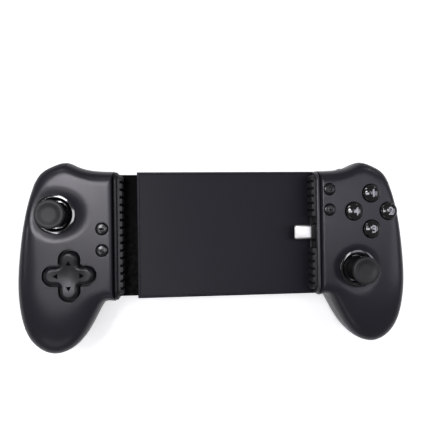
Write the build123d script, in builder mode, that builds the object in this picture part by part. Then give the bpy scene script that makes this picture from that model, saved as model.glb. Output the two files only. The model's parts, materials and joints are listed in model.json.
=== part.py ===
from build123d import *
from math import cos, pi, radians, sin, sqrt
import os

# Stretch controller for a phone, closed and lying on its back
# X runs along the phone, Y towards the shoulder buttons, Z out of the face with the sticks
# Every piece of a grip is drawn for the right hand, and the left hand's is its mirror image

os.makedirs("parts", exist_ok=True)

# Overall sizes
overall_width = 222.0
top_reach = 53.7
face_level = 39.0
parting_level = 28.5
jaw_wall_x = 58.4
slide_travel = 72.0

# Clearances that the fits share
overrun = 30.0
running_gap = 0.35
seat_gap = 0.1
slip_gap = 0.3
pin_gap = 0.06

# Grip casing
skin = 2.2
rear_power_share = 2.4
front_power_share = 2.2
scoop_y = 8.0
scoop_half_span = 16.0
scoop_depth = 5.0
bay_wall = 1.4

# Outline of a grip at its widest level, clockwise from the top of the jaw wall.
# Across runs from the jaw wall to the outermost point, up from the middle to the highest point.
widest_shares = [
    (0.0, 0.903), (0.221, 0.914), (0.382, 0.957), (0.496, 1.0), (0.62, 0.97), (0.747, 0.898),
    (0.842, 0.724), (0.916, 0.439), (0.983, 0.019), (1.0, -0.242), (0.973, -0.594), (0.867, -0.86),
    (0.656, -0.987), (0.462, -0.937), (0.253, -0.695), (0.152, -0.512), (0.112, -0.46), (0.0, -0.453),
]
# Edge of the flat front face, point for point with the widest outline
face_shares = [
    (0.011, 0.791), (0.221, 0.801), (0.373, 0.847), (0.496, 0.885), (0.606, 0.855), (0.696, 0.793),
    (0.772, 0.663), (0.848, 0.421), (0.844, 0.019), (0.833, -0.205), (0.779, -0.346), (0.684, -0.415),
    (0.582, -0.438), (0.468, -0.432), (0.327, -0.402), (0.209, -0.371), (0.129, -0.354), (0.011, -0.346),
]
# Edge of the flat that the grip rests on
back_shares = [
    (0.258, 0.568), (0.354, 0.587), (0.43, 0.605), (0.515, 0.615), (0.601, 0.605), (0.677, 0.559),
    (0.719, 0.466), (0.757, 0.298), (0.785, -0.019), (0.785, -0.261), (0.766, -0.521), (0.709, -0.652),
    (0.629, -0.698), (0.535, -0.652), (0.439, -0.503), (0.373, -0.372), (0.316, -0.261), (0.258, -0.149),
]
# Heights of the sections between the widest outline and a flat
rear_step_shares = [1, 0.985, 0.92, 0.75, 0.45]
front_step_shares = [0.45, 0.75, 0.92, 0.985, 1]

# Thumbsticks
left_stick_place = (89.4, 24.6)
right_stick_place = (80.2, -8.6)
stick_pivot_level = 31.0
cap_radius = 7.65
cap_height = 19.0
cap_rim_depth = 2.4
cap_rim_round = 0.8
cap_dish_radius = 5.1
cap_dish_depth = 0.8
cap_rim_slope = 0.5
cap_underside_height = 15.4
cap_underside_radius = 6.6
neck_height = 12.2
neck_radius = 3.0
dome_radius = 9.5
dome_wall = 1.0
dome_reach_angle = 48.0
shaft_radius = 1.7
shaft_socket_height = 15.0
shaft_foot = 2.4
ring_hole_radius = 10.3
ring_barrel_radius = 10.2
ring_flange_radius = 10.65
ring_crown_radius = 9.6
ring_bore_radius = 7.8
ring_skirt_radius = 8.6
ring_rise = 0.7
ring_round = 0.6
ring_foot_depth = 3.1
ring_bore_depth = 1.5
dish_depth = 1.1
dish_points = [(13.3, -0.82), (15.2, -0.36), (17.0, 0.0), (20.0, 0.36)]
seat_boss_radius = 14.0
seat_boss_depth = 3.6

# Stick module: box, gimbal, swivel block and arch about the pivot
module_half = 7.9
module_wall = 1.1
module_rise = 1.6
module_floor = 4.8
sensor_thickness = 2.5
sensor_half_width = 4.0
block_half_x = 2.6
block_half_y = 2.5
block_half_z = 2.2
block_pin_radius = 0.8
block_pin_reach = 4.3
gimbal_half_x = 4.9
gimbal_half_y = 4.6
gimbal_window_x = 3.5
gimbal_window_y = 2.9
gimbal_half_z = 1.1
trunnion_radius = 0.9
arch_inner_radius = 5.3
arch_radius = 6.3
arch_half_width = 2.9
arch_slot_half_width = 2.05
arch_slot_half_length = 4.2
arch_ear_radius = 1.5

# Face buttons
face_button_place = (88.6, 24.4)
face_button_pitch = 10.4
face_button_radius = 5.0
face_button_hole_radius = 5.3
face_button_shoulder = 0.9
face_button_rise = 2.2
face_button_travel = 1.6
sleeve_wall = 1.2
sleeve_foot_level = 33.0
button_flange = 0.8
ear_half_width = 2.4
button_flange_thickness = 1.5
key_dome_radius = 3.2
key_dome_top_radius = 2.2
key_base_radius = 3.9
keypad_thickness = 1.0

# Small round buttons
left_small_places = [(64.5, 16.4), (64.5, 4.6)]
right_small_places = [(63.8, 37.3), (63.8, 25.5)]
small_radius = 3.1
small_hole_radius = 3.4
small_shoulder = 0.5
small_rise = 0.9
small_travel = 0.8
small_sleeve_foot_level = 34.5
small_flange_half_x = 2.8
small_flange_half_y = 4.4
small_flange_thickness = 1.2
small_stem_radius = 1.5
small_stem_length = 2.4
switch_side = 5.2
switch_height = 2.2
switch_plunger_radius = 1.4
switch_plunger_height = 1.2

# Direction pad
dpad_place = (82.0, -8.6)
dpad_half = 13.5
dpad_arm = 10.0
dpad_gap = 0.7
dpad_corner = 1.4
dpad_rise = 2.6
dpad_side_round = 1.2
dpad_dish_radius = 30.0
dpad_dish_depth = 1.3
dpad_flange = 1.2
dpad_flange_thickness = 1.5
dpad_flange_level = 35.3
dpad_arrow_place = 6.4
dpad_arrow_size = 1.5
dpad_arrow_depth = 0.5
rocker_radius = 4.0
rocker_level = 32.0
rocker_top_reach = 1.0
dpad_dome_place = 9.3
dpad_dome_radius = 2.8
dpad_dome_top_radius = 2.0
dpad_dome_level = 32.5
dpad_pad_radius = 12.6
dpad_post_radius = 2.0

# Shoulder button
bumper_in_x = 83.8
bumper_out_x = 100.6
bumper_low = 21.8
bumper_high = 36.2
bumper_back_in_y = 45.5
bumper_back_out_y = 38.8
bumper_skin = 2.0
bumper_press_in = 0.2
bumper_press_out = 0.95
bumper_hinge_place = (79.5, 46.3)
bumper_hub_radius = 2.3
bumper_pin_radius = 0.9
bumper_pocket_in_x = 77.2
bumper_pocket_low_y = 43.2
bumper_pocket_high_y = 48.8
bumper_pocket_top = 34.4
bumper_arm_low = 24.0
bumper_arm_high = 34.0
bumper_arm_root_x = 84.6
bumper_arm_end_x = 88.0
bumper_arm_end_y = 52.0
bumper_arm_low_y = 48.2
bumper_arm_step_y = 48.6
bumper_tab_x = 94.0
bumper_tab_half_width = 1.0
bumper_tab_end_y = 44.4
bumper_tab_root_y = 49.6
bumper_tab_low = 27.0
bumper_tab_high = 31.0
bumper_switch_low_y = 42.1
bumper_switch_depth = 1.3
bumper_switch_half_width = 2.2

# Trigger
trigger_in_x = 76.2
trigger_out_x = 99.6
trigger_top = 19.4
trigger_back_y = 35.9
trigger_hub_y = 39.6
trigger_hub_level = 16.4
trigger_hub_radius = 2.6
trigger_pin_radius = 1.0
trigger_front_y = 50.6
trigger_waist_y = 50.9
trigger_waist_level = 8.5
trigger_belly_y = 51.5
trigger_belly_level = 14.0
trigger_tip_y = 53.2
trigger_tip_level = 3.6
trigger_heel_y = 51.4
trigger_heel_level = 2.8
trigger_inner_y = 46.4
trigger_inner_level = 8.6
trigger_inner_root_y = 41.0
trigger_inner_root_level = 14.0
trigger_edge_round = 0.9
trigger_side_inset = 0.4
spring_radius = 2.4
spring_wall = 0.6
trigger_spring_x = 88.0
trigger_spring_level = 9.0
trigger_spring_end_y = 43.2

# Circuit boards
board_level = 24.5
board_thickness = 1.6
board_in_x = 61.0
board_out_x = 101.8
board_low_y = -21.4
board_high_y = 40.2
board_corner = 11.5
board_post_places = [(72.0, 28.0), (96.0, 8.0), (84.0, -17.5)]
board_post_radius = 2.0

# Screws that close a grip
screw_places = [(70.2, -21.5), (93.0, -37.0), (105.0, -6.0), (70.5, 43.0)]
screw_post_radius = 3.3
screw_boss_radius = 2.6
screw_head_radius = 2.0
screw_head_height = 1.6
screw_head_well = 2.4
screw_ledge_level = 12.0
screw_shank_radius = 1.2
screw_tip_level = 33.5
screw_drive_radius = 0.9
screw_drive_depth = 0.8

# Bridge that the phone lies on, and the sled that slides in it
bridge_end_x = 46.3
bridge_y = 12.25
bridge_breadth = 72.6
bed_level = 28.0
bridge_back_level = 14.0
bridge_split_level = 21.0
bridge_side_wall = 1.0
bridge_bed_wall = 1.9
bridge_floor = 1.5
bridge_back_round = 4.0
bridge_bed_round = 0.6
bed_rim = 1.3
bed_recess = 0.5
sled_wall = 1.5
sled_end_x = 46.0
sled_rib_x = 15.0
sled_rib_half = 1.0
sled_window_half_y = 8.0
bridge_post_x = 38.0
bridge_far_post_x = 52.0
bridge_post_offset = 29.0
bridge_post_radius = 2.2
bridge_screw_radius = 1.0
bridge_screw_head_radius = 1.8
bridge_screw_head_height = 0.8
bridge_screw_end = 0.7

# Tongue that ties the bridge or the sled to its grip
tongue_low = 16.2
tongue_thickness = 1.6
tongue_end_x = 68.6
tongue_low_y = -9.0
tongue_high_y = 37.0
tongue_block_x = 48.0
tongue_screw_x = 64.8
tongue_screw_ys = [2.0, 26.5]
tongue_boss_radius = 3.0
tongue_screw_radius = 0.95
tongue_head_radius = 2.2
tongue_head_height = 1.4
tongue_screw_tip = 9.0
window_high = 24.2
window_end_x = 62.6

# Jaw frame, ribbed pad and plug
frame_thickness = 1.9
frame_low_y = -23.4
frame_high_y = 47.9
frame_top = 38.4
frame_round = 0.8
frame_corner = 5.6
pad_y = 12.7
pad_half = 32.9
pad_base = 1.2
pad_tooth = 1.3
pad_top = 37.6
pad_corner = 3.0
tooth_pitch = 4.19
tooth_gap = 1.5
tooth_gap_count = 15
plug_y = 12.7
plug_level = 33.0
plug_tip_x = 45.0
plug_width = 8.3
plug_height = 2.5
plug_wall = 0.35
plug_recess_half = 9.3
plug_recess_web = 1.2
collar_face_x = 54.2
collar_width = 9.4
collar_height = 5.0
collar_end_x = 64.0
collar_round = 1.2
plug_root = 2.0
liner_setback = 0.6
liner_wall = 0.45

# Charge socket in the lower wall of the right grip
socket_x = 62.5
socket_level = 19.6
socket_length = 8.9
socket_breadth = 3.2
socket_depth = 7.0
socket_wall = 0.3
socket_tongue = 0.7
socket_setback = 0.4
socket_mouth_gap = 0.4

# Springs and ribbon that stretch with the slide
slide_spring_offset = 16.0
slide_spring_level = 21.0
slide_spring_end_x = 49.4
anchor_x = 50.6
anchor_radius = 1.2
anchor_top = 23.5
ribbon_half_width = 5.0
ribbon_thickness = 0.3
ribbon_low = 19.0
ribbon_fold = 1.0
ribbon_end_x = 64.0
ribbon_far_fold_x = 34.0
ribbon_near_fold_x = 20.0

# Levels and places that follow from the sizes above
grip_breadth = overall_width / 2 - jaw_wall_x
inner_face_level = face_level - skin
board_top = board_level + board_thickness
scoop_radius = (scoop_half_span**2 + scoop_depth**2) / (2 * scoop_depth)
ring_seat_level = face_level - dish_depth
dish_floor_radius = ring_flange_radius + running_gap
button_flange_top = sleeve_foot_level - slip_gap
button_foot = button_flange_top - button_flange_thickness
frame_in_x = jaw_wall_x - 2 * seat_gap - frame_thickness
pad_in_x = frame_in_x - seat_gap - pad_base
sled_low = bridge_back_level + bridge_floor + slip_gap
sled_high = bed_level - bridge_bed_wall - slip_gap
sled_breadth = bridge_breadth - 2 * (bridge_side_wall + slip_gap)
spring_start_x = sled_rib_x + sled_rib_half + seat_gap


def placed(shares):
    """Outline points of the right grip from their shares of its breadth and height."""
    return [Vector(jaw_wall_x + across * grip_breadth, up * top_reach) for across, up in shares]


def drawn_in(points, amount):
    """The same outline moved inwards by an amount, square to its own direction."""
    inner = [points[0] + Vector(amount, -amount)]
    for before, here, after in zip(points, points[1:], points[2:]):
        along = (after - before).normalized()
        inner.append(here + Vector(along.Y, -along.X) * amount)
    return inner + [points[-1] + Vector(amount, amount)]


def roll_share(step_share, power_share):
    """How far a section has moved in on a rounded profile, from 0 at the side to 1 at the flat."""
    return 1 - (1 - step_share**power_share) ** (1 / power_share)


def grip_sections(amount):
    """Level and points of each section of the grip, from its back to its face."""
    wide, face, back = [drawn_in(placed(shares), amount) for shares in (widest_shares, face_shares, back_shares)]
    runs = [
        (rear_step_shares, back, amount, rear_power_share),
        ([0], wide, parting_level, 1),
        (front_step_shares, face, face_level - amount, front_power_share),
    ]
    for step_shares, narrow, far_level, power_share in runs:
        for step_share in step_shares:
            share = roll_share(step_share, power_share)
            points = [here + (there - here) * share for here, there in zip(wide, narrow)]
            yield parting_level + step_share * (far_level - parting_level), points


def grip_volume(amount):
    """The closed volume of a grip, drawn in by an amount on every side."""
    with BuildPart() as volume:
        for level, points in grip_sections(amount):
            with BuildSketch(Plane.XY.offset(level)):
                with BuildLine():
                    rim = Spline(*points)
                    Line(rim @ 1, rim @ 0)
                make_face()
        loft()
    return volume.part


def block(low, high):
    """A plain block between two corners."""
    with BuildPart() as solid:
        with BuildSketch(Plane.XY.offset(low[2])):
            with Locations(((low[0] + high[0]) / 2, (low[1] + high[1]) / 2)):
                Rectangle(high[0] - low[0], high[1] - low[1])
        extrude(amount=high[2] - low[2])
    return solid.part


def column(place, radius, low, high):
    """An upright cylinder."""
    with BuildPart() as solid:
        with BuildSketch(Plane.XY.offset(low)):
            with Locations(place):
                Circle(radius)
        extrude(amount=high - low)
    return solid.part


def rod(start_x, end_x, y, level, radius):
    """A cylinder along X."""
    with BuildPart() as solid:
        with BuildSketch(Plane.YZ.offset(start_x)):
            with Locations((y, level)):
                Circle(radius)
        extrude(amount=end_x - start_x)
    return solid.part


def scoop(extra):
    """The round trough across the back that the middle fingers lie in."""
    low_level = scoop_depth - scoop_radius
    return rod(jaw_wall_x - overrun, overall_width / 2 + overrun, scoop_y, low_level, scoop_radius + extra)


def bumper_zone(extra, press_in=0, press_out=0):
    """Zone of the shoulder button's outer strip, less the room for its press, open to the top edge."""
    high_y = top_reach + overrun
    with BuildPart() as zone:
        with BuildSketch(Plane.XY.offset(bumper_low - extra)):
            with BuildLine():
                Polyline(
                    (bumper_in_x - extra, bumper_back_in_y - extra + press_in),
                    (bumper_out_x + extra, bumper_back_out_y - extra + press_out),
                    (bumper_out_x + extra, high_y),
                    (bumper_in_x - extra, high_y),
                    close=True,
                )
            make_face()
        extrude(amount=bumper_high - bumper_low + 2 * extra)
    return zone.part


def bumper_bay(extra):
    """Space of the shoulder button, open to the top edge, with its hinge pocket."""
    with BuildPart() as bay:
        add(bumper_zone(extra))
        add(
            block(
                (bumper_pocket_in_x - extra, bumper_pocket_low_y - extra, bumper_low - extra),
                (bumper_in_x + extra, bumper_pocket_high_y + extra, bumper_pocket_top + extra),
            )
        )
    return bay.part


def trigger_bay(extra):
    """Space of the trigger, open to the top edge and the back."""
    return block(
        (trigger_in_x - extra, trigger_back_y - extra, -overrun),
        (trigger_out_x + extra, top_reach + overrun, trigger_top + extra),
    )


def finish(piece, label, side="right"):
    """Turn a piece to its own hand, label it and write it."""
    with BuildPart() as turned:
        if side == "left":
            mirror(piece, about=Plane.YZ)
        else:
            add(piece)
    turned.part.label = label
    export_step(turned.part, "parts/" + label + ".step")


# Hollow casing of a grip, the same for both hands
grip_outer = grip_volume(0)
grip_inner = grip_volume(skin)

with BuildPart() as cavity:
    add(grip_inner)
    for keep_out in (bumper_bay, trigger_bay):
        add(keep_out(running_gap + bay_wall), mode=Mode.SUBTRACT)
    add(scoop(skin), mode=Mode.SUBTRACT)

with BuildPart() as solid_grip:
    add(grip_outer)
    add(scoop(0), mode=Mode.SUBTRACT)

with BuildPart() as casing:
    add(solid_grip.part)
    add(bumper_bay(running_gap), mode=Mode.SUBTRACT)
    add(trigger_bay(running_gap), mode=Mode.SUBTRACT)
    add(cavity.part, mode=Mode.SUBTRACT)

with BuildPart() as front_casing:
    add(casing.part)
    split(bisect_by=Plane.XY.offset(parting_level), keep=Keep.TOP)

with BuildPart() as rear_casing:
    add(casing.part)
    split(bisect_by=Plane.XY.offset(parting_level), keep=Keep.BOTTOM)

# Posts and bosses, cut to the grip's own surface
with BuildPart() as rear_posts:
    for place in screw_places:
        add(column(place, screw_post_radius, 0, parting_level - seat_gap))
    for place in board_post_places:
        add(column(place, board_post_radius, 0, board_level - seat_gap))
    for y in tongue_screw_ys:
        add(column((tongue_screw_x, y), tongue_boss_radius, 0, tongue_low - seat_gap))
    add(solid_grip.part, mode=Mode.INTERSECT)


def front_bosses(stick_place, sleeves):
    """Screw bosses, the stick ring's seat and button sleeves under the face, cut to the grip's surface."""
    with BuildPart() as bosses:
        for place in screw_places:
            add(column(place, screw_boss_radius, parting_level, face_level))
        add(column(stick_place, seat_boss_radius, face_level - seat_boss_depth, face_level))
        for place, radius, foot in sleeves:
            add(column(place, radius, foot, face_level))
        add(grip_outer, mode=Mode.INTERSECT)
        add(bumper_bay(running_gap), mode=Mode.SUBTRACT)
    return bosses.part


def dpad_outline(grow):
    """Cross with round ends, grown all round by an amount."""
    with BuildSketch() as cross:
        for turn in (0, 90):
            SlotOverall(2 * (dpad_half + grow), dpad_arm + 2 * grow, rotation=turn)
        fillet(cross.vertices().group_by(SortBy.DISTANCE)[0], dpad_corner)
    return cross.sketch


def around(place, radius, count=4):
    """Places on a circle, the first straight above the middle."""
    angles = [pi / 2 - 2 * pi * turn / count for turn in range(count)]
    return [(place[0] + radius * cos(angle), place[1] + radius * sin(angle)) for angle in angles]


def collar_window(start_x, end_x):
    """Opening that the plug's collar passes through."""
    half_y = collar_width / 2 + running_gap
    half_z = collar_height / 2 + running_gap
    return block(
        (start_x, plug_y - half_y, plug_level - half_z),
        (end_x, plug_y + half_y, plug_level + half_z),
    )


# Shallow dish round a stick: a flat floor that rises to the face in a soft curve
with BuildPart() as dish:
    with BuildSketch(Plane.XZ):
        with BuildLine():
            Polyline((dish_points[-1]), (0, dish_points[-1][1]), (0, -dish_depth), (dish_floor_radius, -dish_depth))
            Spline((dish_floor_radius, -dish_depth), *dish_points)
        make_face()
    revolve(axis=Axis.Z)
dish_volume = dish.part


# Front shells
def front_shell(stick_place, small_places, side):
    """Face of a grip with its dish, holes, sleeves and bosses."""
    face_places = around(face_button_place, face_button_pitch) if side == "right" else []
    sleeves = [(place, small_hole_radius + sleeve_wall, small_sleeve_foot_level) for place in small_places]
    sleeves += [(place, face_button_hole_radius + sleeve_wall, sleeve_foot_level) for place in face_places]
    with BuildPart() as shell:
        add(front_casing.part)
        add(front_bosses(stick_place, sleeves))
        with Locations((stick_place[0], stick_place[1], face_level)):
            add(dish_volume, mode=Mode.SUBTRACT)
        add(column(stick_place, ring_hole_radius, parting_level, face_level), mode=Mode.SUBTRACT)
        for place in small_places:
            add(column(place, small_hole_radius, parting_level, face_level), mode=Mode.SUBTRACT)
        for place in face_places:
            add(column(place, face_button_hole_radius, parting_level, face_level), mode=Mode.SUBTRACT)
        for place in screw_places:
            add(
                column(place, screw_shank_radius + pin_gap, parting_level, screw_tip_level + seat_gap),
                mode=Mode.SUBTRACT,
            )
        add(
            column(bumper_hinge_place, bumper_pin_radius + pin_gap, parting_level, bumper_pocket_top + bay_wall),
            mode=Mode.SUBTRACT,
        )
        if side == "left":
            with BuildSketch(Plane.XY.offset(parting_level)):
                with Locations(dpad_place):
                    add(dpad_outline(dpad_gap))
            extrude(amount=face_level, mode=Mode.SUBTRACT)
        else:
            add(collar_window(jaw_wall_x - overrun, window_end_x), mode=Mode.SUBTRACT)
    finish(shell.part, side + "_front_shell", side)


front_shell(left_stick_place, left_small_places, "left")
front_shell(right_stick_place, right_small_places, "right")


# Rear shells
def rear_shell(side):
    """Back of a grip with its posts, screw wells, tongue window and hinge bores."""
    with BuildPart() as shell:
        add(rear_casing.part)
        add(rear_posts.part)
        for place in screw_places:
            add(column(place, screw_head_well, 0, screw_ledge_level), mode=Mode.SUBTRACT)
            add(column(place, screw_shank_radius + pin_gap, 0, parting_level), mode=Mode.SUBTRACT)
        for y in tongue_screw_ys:
            place = (tongue_screw_x, y)
            low = tongue_screw_tip - seat_gap
            add(column(place, tongue_screw_radius + pin_gap, low, tongue_low), mode=Mode.SUBTRACT)
        add(
            block(
                (jaw_wall_x - overrun, tongue_low_y - running_gap, tongue_low - seat_gap),
                (window_end_x, tongue_high_y + running_gap, window_high),
            ),
            mode=Mode.SUBTRACT,
        )
        add(
            rod(
                trigger_in_x - bay_wall - seat_gap,
                trigger_out_x + bay_wall + seat_gap,
                trigger_hub_y,
                trigger_hub_level,
                trigger_pin_radius + pin_gap,
            ),
            mode=Mode.SUBTRACT,
        )
        add(
            column(bumper_hinge_place, bumper_pin_radius + pin_gap, bumper_low - bay_wall, parting_level),
            mode=Mode.SUBTRACT,
        )
        if side == "right":
            mouth = socket_breadth / 2 + socket_mouth_gap
            reach = socket_length / 2 + socket_mouth_gap
            add(
                block(
                    (socket_x - mouth, -top_reach, socket_level - reach),
                    (socket_x + mouth, socket_floor_y, socket_level + reach),
                ),
                mode=Mode.SUBTRACT,
            )
    finish(shell.part, side + "_rear_shell", side)


# The wall beside the socket is the short lower edge next to the jaw wall
lower_edge_y = widest_shares[-1][1] * top_reach
socket_floor_y = lower_edge_y + socket_setback + socket_depth + seat_gap
rear_shell("left")
rear_shell("right")

# Charge socket: a metal sleeve on edge with its contact tongue
with BuildPart() as charge_socket:
    socket_plane = Plane(origin=(socket_x, lower_edge_y + socket_setback, socket_level), x_dir=(0, 0, 1), z_dir=(0, 1, 0))
    with BuildSketch(socket_plane):
        SlotOverall(socket_length, socket_breadth)
    extrude(amount=socket_depth)
    with BuildSketch(socket_plane):
        SlotOverall(socket_length - 2 * socket_wall, socket_breadth - 2 * socket_wall)
    extrude(amount=socket_depth - skin, mode=Mode.SUBTRACT)
    with BuildSketch(socket_plane.offset(skin / 2)):
        Rectangle(socket_length - socket_breadth, socket_tongue)
    extrude(amount=socket_depth - skin)
finish(charge_socket.part, "charge_socket")


# Screws that close the grips
def case_screws(side):
    """Four identical screws, each with its drive recess."""
    with BuildPart() as screws:
        for place in screw_places:
            head_low = screw_ledge_level - screw_head_height
            add(column(place, screw_head_radius, head_low, screw_ledge_level))
            add(column(place, screw_shank_radius, screw_ledge_level, screw_tip_level))
            with BuildSketch(Plane.XY.offset(head_low)):
                with Locations(place):
                    RegularPolygon(screw_drive_radius, 6)
            extrude(amount=screw_drive_depth, mode=Mode.SUBTRACT)
    finish(screws.part, side + "_case_screws", side)


def hinge_pins(side):
    """Pin of the trigger and pin of the shoulder button."""
    with BuildPart() as pins:
        add(
            rod(
                trigger_in_x - bay_wall,
                trigger_out_x + bay_wall,
                trigger_hub_y,
                trigger_hub_level,
                trigger_pin_radius,
            )
        )
        add(
            column(
                bumper_hinge_place,
                bumper_pin_radius,
                bumper_low - bay_wall + seat_gap,
                bumper_pocket_top + bay_wall - seat_gap,
            )
        )
    finish(pins.part, side + "_hinge_pins", side)


# Circuit boards
def circuit_board(side):
    """Board of a grip, with one corner cut back and notches round the screw posts."""
    with BuildPart() as board:
        with BuildSketch(Plane.XY.offset(board_level)):
            with BuildLine():
                Polyline(
                    (board_in_x, board_low_y),
                    (board_out_x, board_low_y),
                    (board_out_x, board_high_y - board_corner),
                    (board_out_x - board_corner, board_high_y),
                    (board_in_x, board_high_y),
                    close=True,
                )
            make_face()
            for place in screw_places:
                with Locations(place):
                    Circle(screw_post_radius + running_gap, mode=Mode.SUBTRACT)
        extrude(amount=board_thickness)
    finish(board.part, side + "_circuit_board", side)


def tact_switches(small_places, side):
    """Push switches under the small buttons, and the one behind the shoulder button."""
    with BuildPart() as switches:
        for place in small_places:
            x, y = place
            half = switch_side / 2
            add(block((x - half, y - half, board_top), (x + half, y + half, board_top + switch_height)))
            tip = board_top + switch_height + switch_plunger_height
            add(column(place, switch_plunger_radius, board_top + switch_height, tip))
        add(
            block(
                (bumper_tab_x - bumper_switch_half_width, bumper_switch_low_y, bumper_tab_low),
                (
                    bumper_tab_x + bumper_switch_half_width,
                    bumper_switch_low_y + bumper_switch_depth,
                    bumper_tab_high,
                ),
            )
        )
    finish(switches.part, side + "_tact_switches", side)


# Thumbstick rings and caps
def stick_ring(place, side):
    """Smooth ring that the stick runs against, seated in the dish."""
    foot = ring_seat_level - ring_foot_depth + dish_depth
    top = face_level + ring_rise
    with BuildPart() as ring:
        with BuildSketch(Plane.XZ):
            with BuildLine():
                Polyline(
                    (ring_skirt_radius, foot),
                    (ring_barrel_radius, foot),
                    (ring_barrel_radius, ring_seat_level + seat_gap),
                    (ring_flange_radius, ring_seat_level + seat_gap),
                    (ring_flange_radius, top - ring_round),
                    (ring_crown_radius, top),
                    (ring_bore_radius + ring_round, top),
                    (ring_bore_radius, top - ring_round),
                    (ring_bore_radius, face_level - ring_bore_depth),
                    close=True,
                )
            make_face()
        revolve(axis=Axis.Z)
    with BuildPart() as placed_ring:
        with Locations((place[0], place[1], 0)):
            add(ring.part)
    finish(placed_ring.part, side + "_stick_ring", side)


def on_dome(radius, angle):
    """Point of a dome about the pivot, at an angle from its top."""
    return (radius * sin(radians(angle)), radius * cos(radians(angle)))


def dome_height(radius, out):
    """Height of a dome where it is a given distance out."""
    return sqrt(radius**2 - out**2)


def stick_cap(place, side):
    """Cap with a raised rim, a neck and the dome that closes the ring's bore."""
    inner_dome = dome_radius - dome_wall
    socket = shaft_radius + pin_gap
    with BuildPart() as cap:
        with BuildSketch(Plane.XZ):
            with BuildLine():
                Line((0, shaft_socket_height), (0, cap_height - cap_dish_depth))
                Polyline(
                    (0, cap_height - cap_dish_depth),
                    (cap_dish_radius, cap_height - cap_dish_depth / 2),
                    (cap_dish_radius + cap_rim_slope, cap_height),
                    (cap_radius - cap_rim_round, cap_height),
                    (cap_radius, cap_height - cap_rim_round),
                    (cap_radius, cap_height - cap_rim_depth),
                    (cap_underside_radius, cap_underside_height),
                    (neck_radius, neck_height),
                    (neck_radius, dome_height(dome_radius, neck_radius)),
                )
                RadiusArc(
                    (neck_radius, dome_height(dome_radius, neck_radius)),
                    on_dome(dome_radius, dome_reach_angle),
                    dome_radius,
                )
                Line(on_dome(dome_radius, dome_reach_angle), on_dome(inner_dome, dome_reach_angle))
                RadiusArc(
                    on_dome(inner_dome, dome_reach_angle),
                    (socket, dome_height(inner_dome, socket)),
                    -inner_dome,
                )
                Polyline(
                    (socket, dome_height(inner_dome, socket)),
                    (socket, shaft_socket_height),
                    (0, shaft_socket_height),
                )
            make_face()
        revolve(axis=Axis.Z)
    with BuildPart() as placed_cap:
        with Locations((place[0], place[1], stick_pivot_level)):
            add(cap.part)
    finish(placed_cap.part, side + "_stick_cap", side)


def stick_shaft(place, side):
    """Shaft that carries the cap and slides in the swivel block."""
    top = stick_pivot_level + shaft_socket_height - seat_gap
    shaft = column(place, shaft_radius, stick_pivot_level - shaft_foot, top)
    finish(shaft, side + "_stick_shaft", side)


def centred(place):
    """The pivot of a stick."""
    return (place[0], place[1], stick_pivot_level)


def swivel_block(place, side):
    """Block on the shaft, with the pins that let it tip along X."""
    with BuildPart() as swivel:
        with Locations(centred(place)):
            Box(2 * block_half_x, 2 * block_half_y, 2 * block_half_z)
            Cylinder(block_pin_radius, 2 * block_pin_reach, rotation=(90, 0, 0))
            Cylinder(shaft_radius + running_gap / 2, overrun, mode=Mode.SUBTRACT)
    finish(swivel.part, side + "_stick_swivel", side)


def gimbal(place, side):
    """Frame round the swivel block, tipping along Y on its trunnions."""
    with BuildPart() as frame:
        with Locations(centred(place)):
            Box(2 * gimbal_half_x, 2 * gimbal_half_y, 2 * gimbal_half_z)
            Cylinder(trunnion_radius, 2 * (module_half - seat_gap), rotation=(0, 90, 0))
            Box(2 * gimbal_window_x, 2 * gimbal_window_y, overrun, mode=Mode.SUBTRACT)
            Cylinder(block_pin_radius + pin_gap, 2 * gimbal_half_y, rotation=(90, 0, 0), mode=Mode.SUBTRACT)
    finish(frame.part, side + "_stick_gimbal", side)


def sensor_arch(place, side):
    """Slotted arch over the gimbal that follows the stick along X and turns its sensor."""
    upper = (Align.CENTER, Align.CENTER, Align.MIN)
    with BuildPart() as arch:
        with Locations(centred(place)):
            Cylinder(arch_radius, 2 * arch_half_width, rotation=(0, 90, 0))
            Cylinder(arch_inner_radius, overrun, rotation=(0, 90, 0), mode=Mode.SUBTRACT)
            Box(overrun, overrun, overrun, align=(Align.CENTER, Align.CENTER, Align.MAX), mode=Mode.SUBTRACT)
            Box(2 * arch_slot_half_width, 2 * arch_slot_half_length, overrun, align=upper, mode=Mode.SUBTRACT)
        for turn in (-1, 1):
            ear = (place[0], place[1] + turn * (arch_radius + arch_inner_radius) / 2, stick_pivot_level)
            with Locations(ear):
                Cylinder(arch_ear_radius, arch_radius - arch_inner_radius, rotation=(90, 0, 0))
            reach = (module_half - seat_gap + arch_inner_radius) / 2
            with Locations((place[0], place[1] + turn * reach, stick_pivot_level)):
                Cylinder(
                    trunnion_radius,
                    module_half - seat_gap - arch_inner_radius,
                    rotation=(90, 0, 0),
                )
    finish(arch.part, side + "_stick_arch", side)


def stick_module(place, side):
    """Open box on the board with bores for both axes, and a sensor on two of its sides."""
    x, y = place
    low = stick_pivot_level - module_floor
    inner_half = module_half - module_wall
    with BuildPart() as module:
        add(
            block(
                (x - module_half, y - module_half, low),
                (x + module_half, y + module_half, stick_pivot_level + module_rise),
            )
        )
        add(
            block(
                (x - inner_half, y - inner_half, low + module_wall),
                (x + inner_half, y + inner_half, face_level),
            ),
            mode=Mode.SUBTRACT,
        )
        add(
            block(
                (x + module_half, y - sensor_half_width, low),
                (x + module_half + sensor_thickness, y + sensor_half_width, stick_pivot_level - module_rise),
            )
        )
        add(
            block(
                (x - sensor_half_width, y - module_half - sensor_thickness, low),
                (x + sensor_half_width, y - module_half, stick_pivot_level - module_rise),
            )
        )
        with Locations(centred(place)):
            for turn in ((0, 90, 0), (90, 0, 0)):
                Cylinder(trunnion_radius + pin_gap, 2 * module_half, rotation=turn, mode=Mode.SUBTRACT)
    finish(module.part, side + "_stick_module", side)


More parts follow.
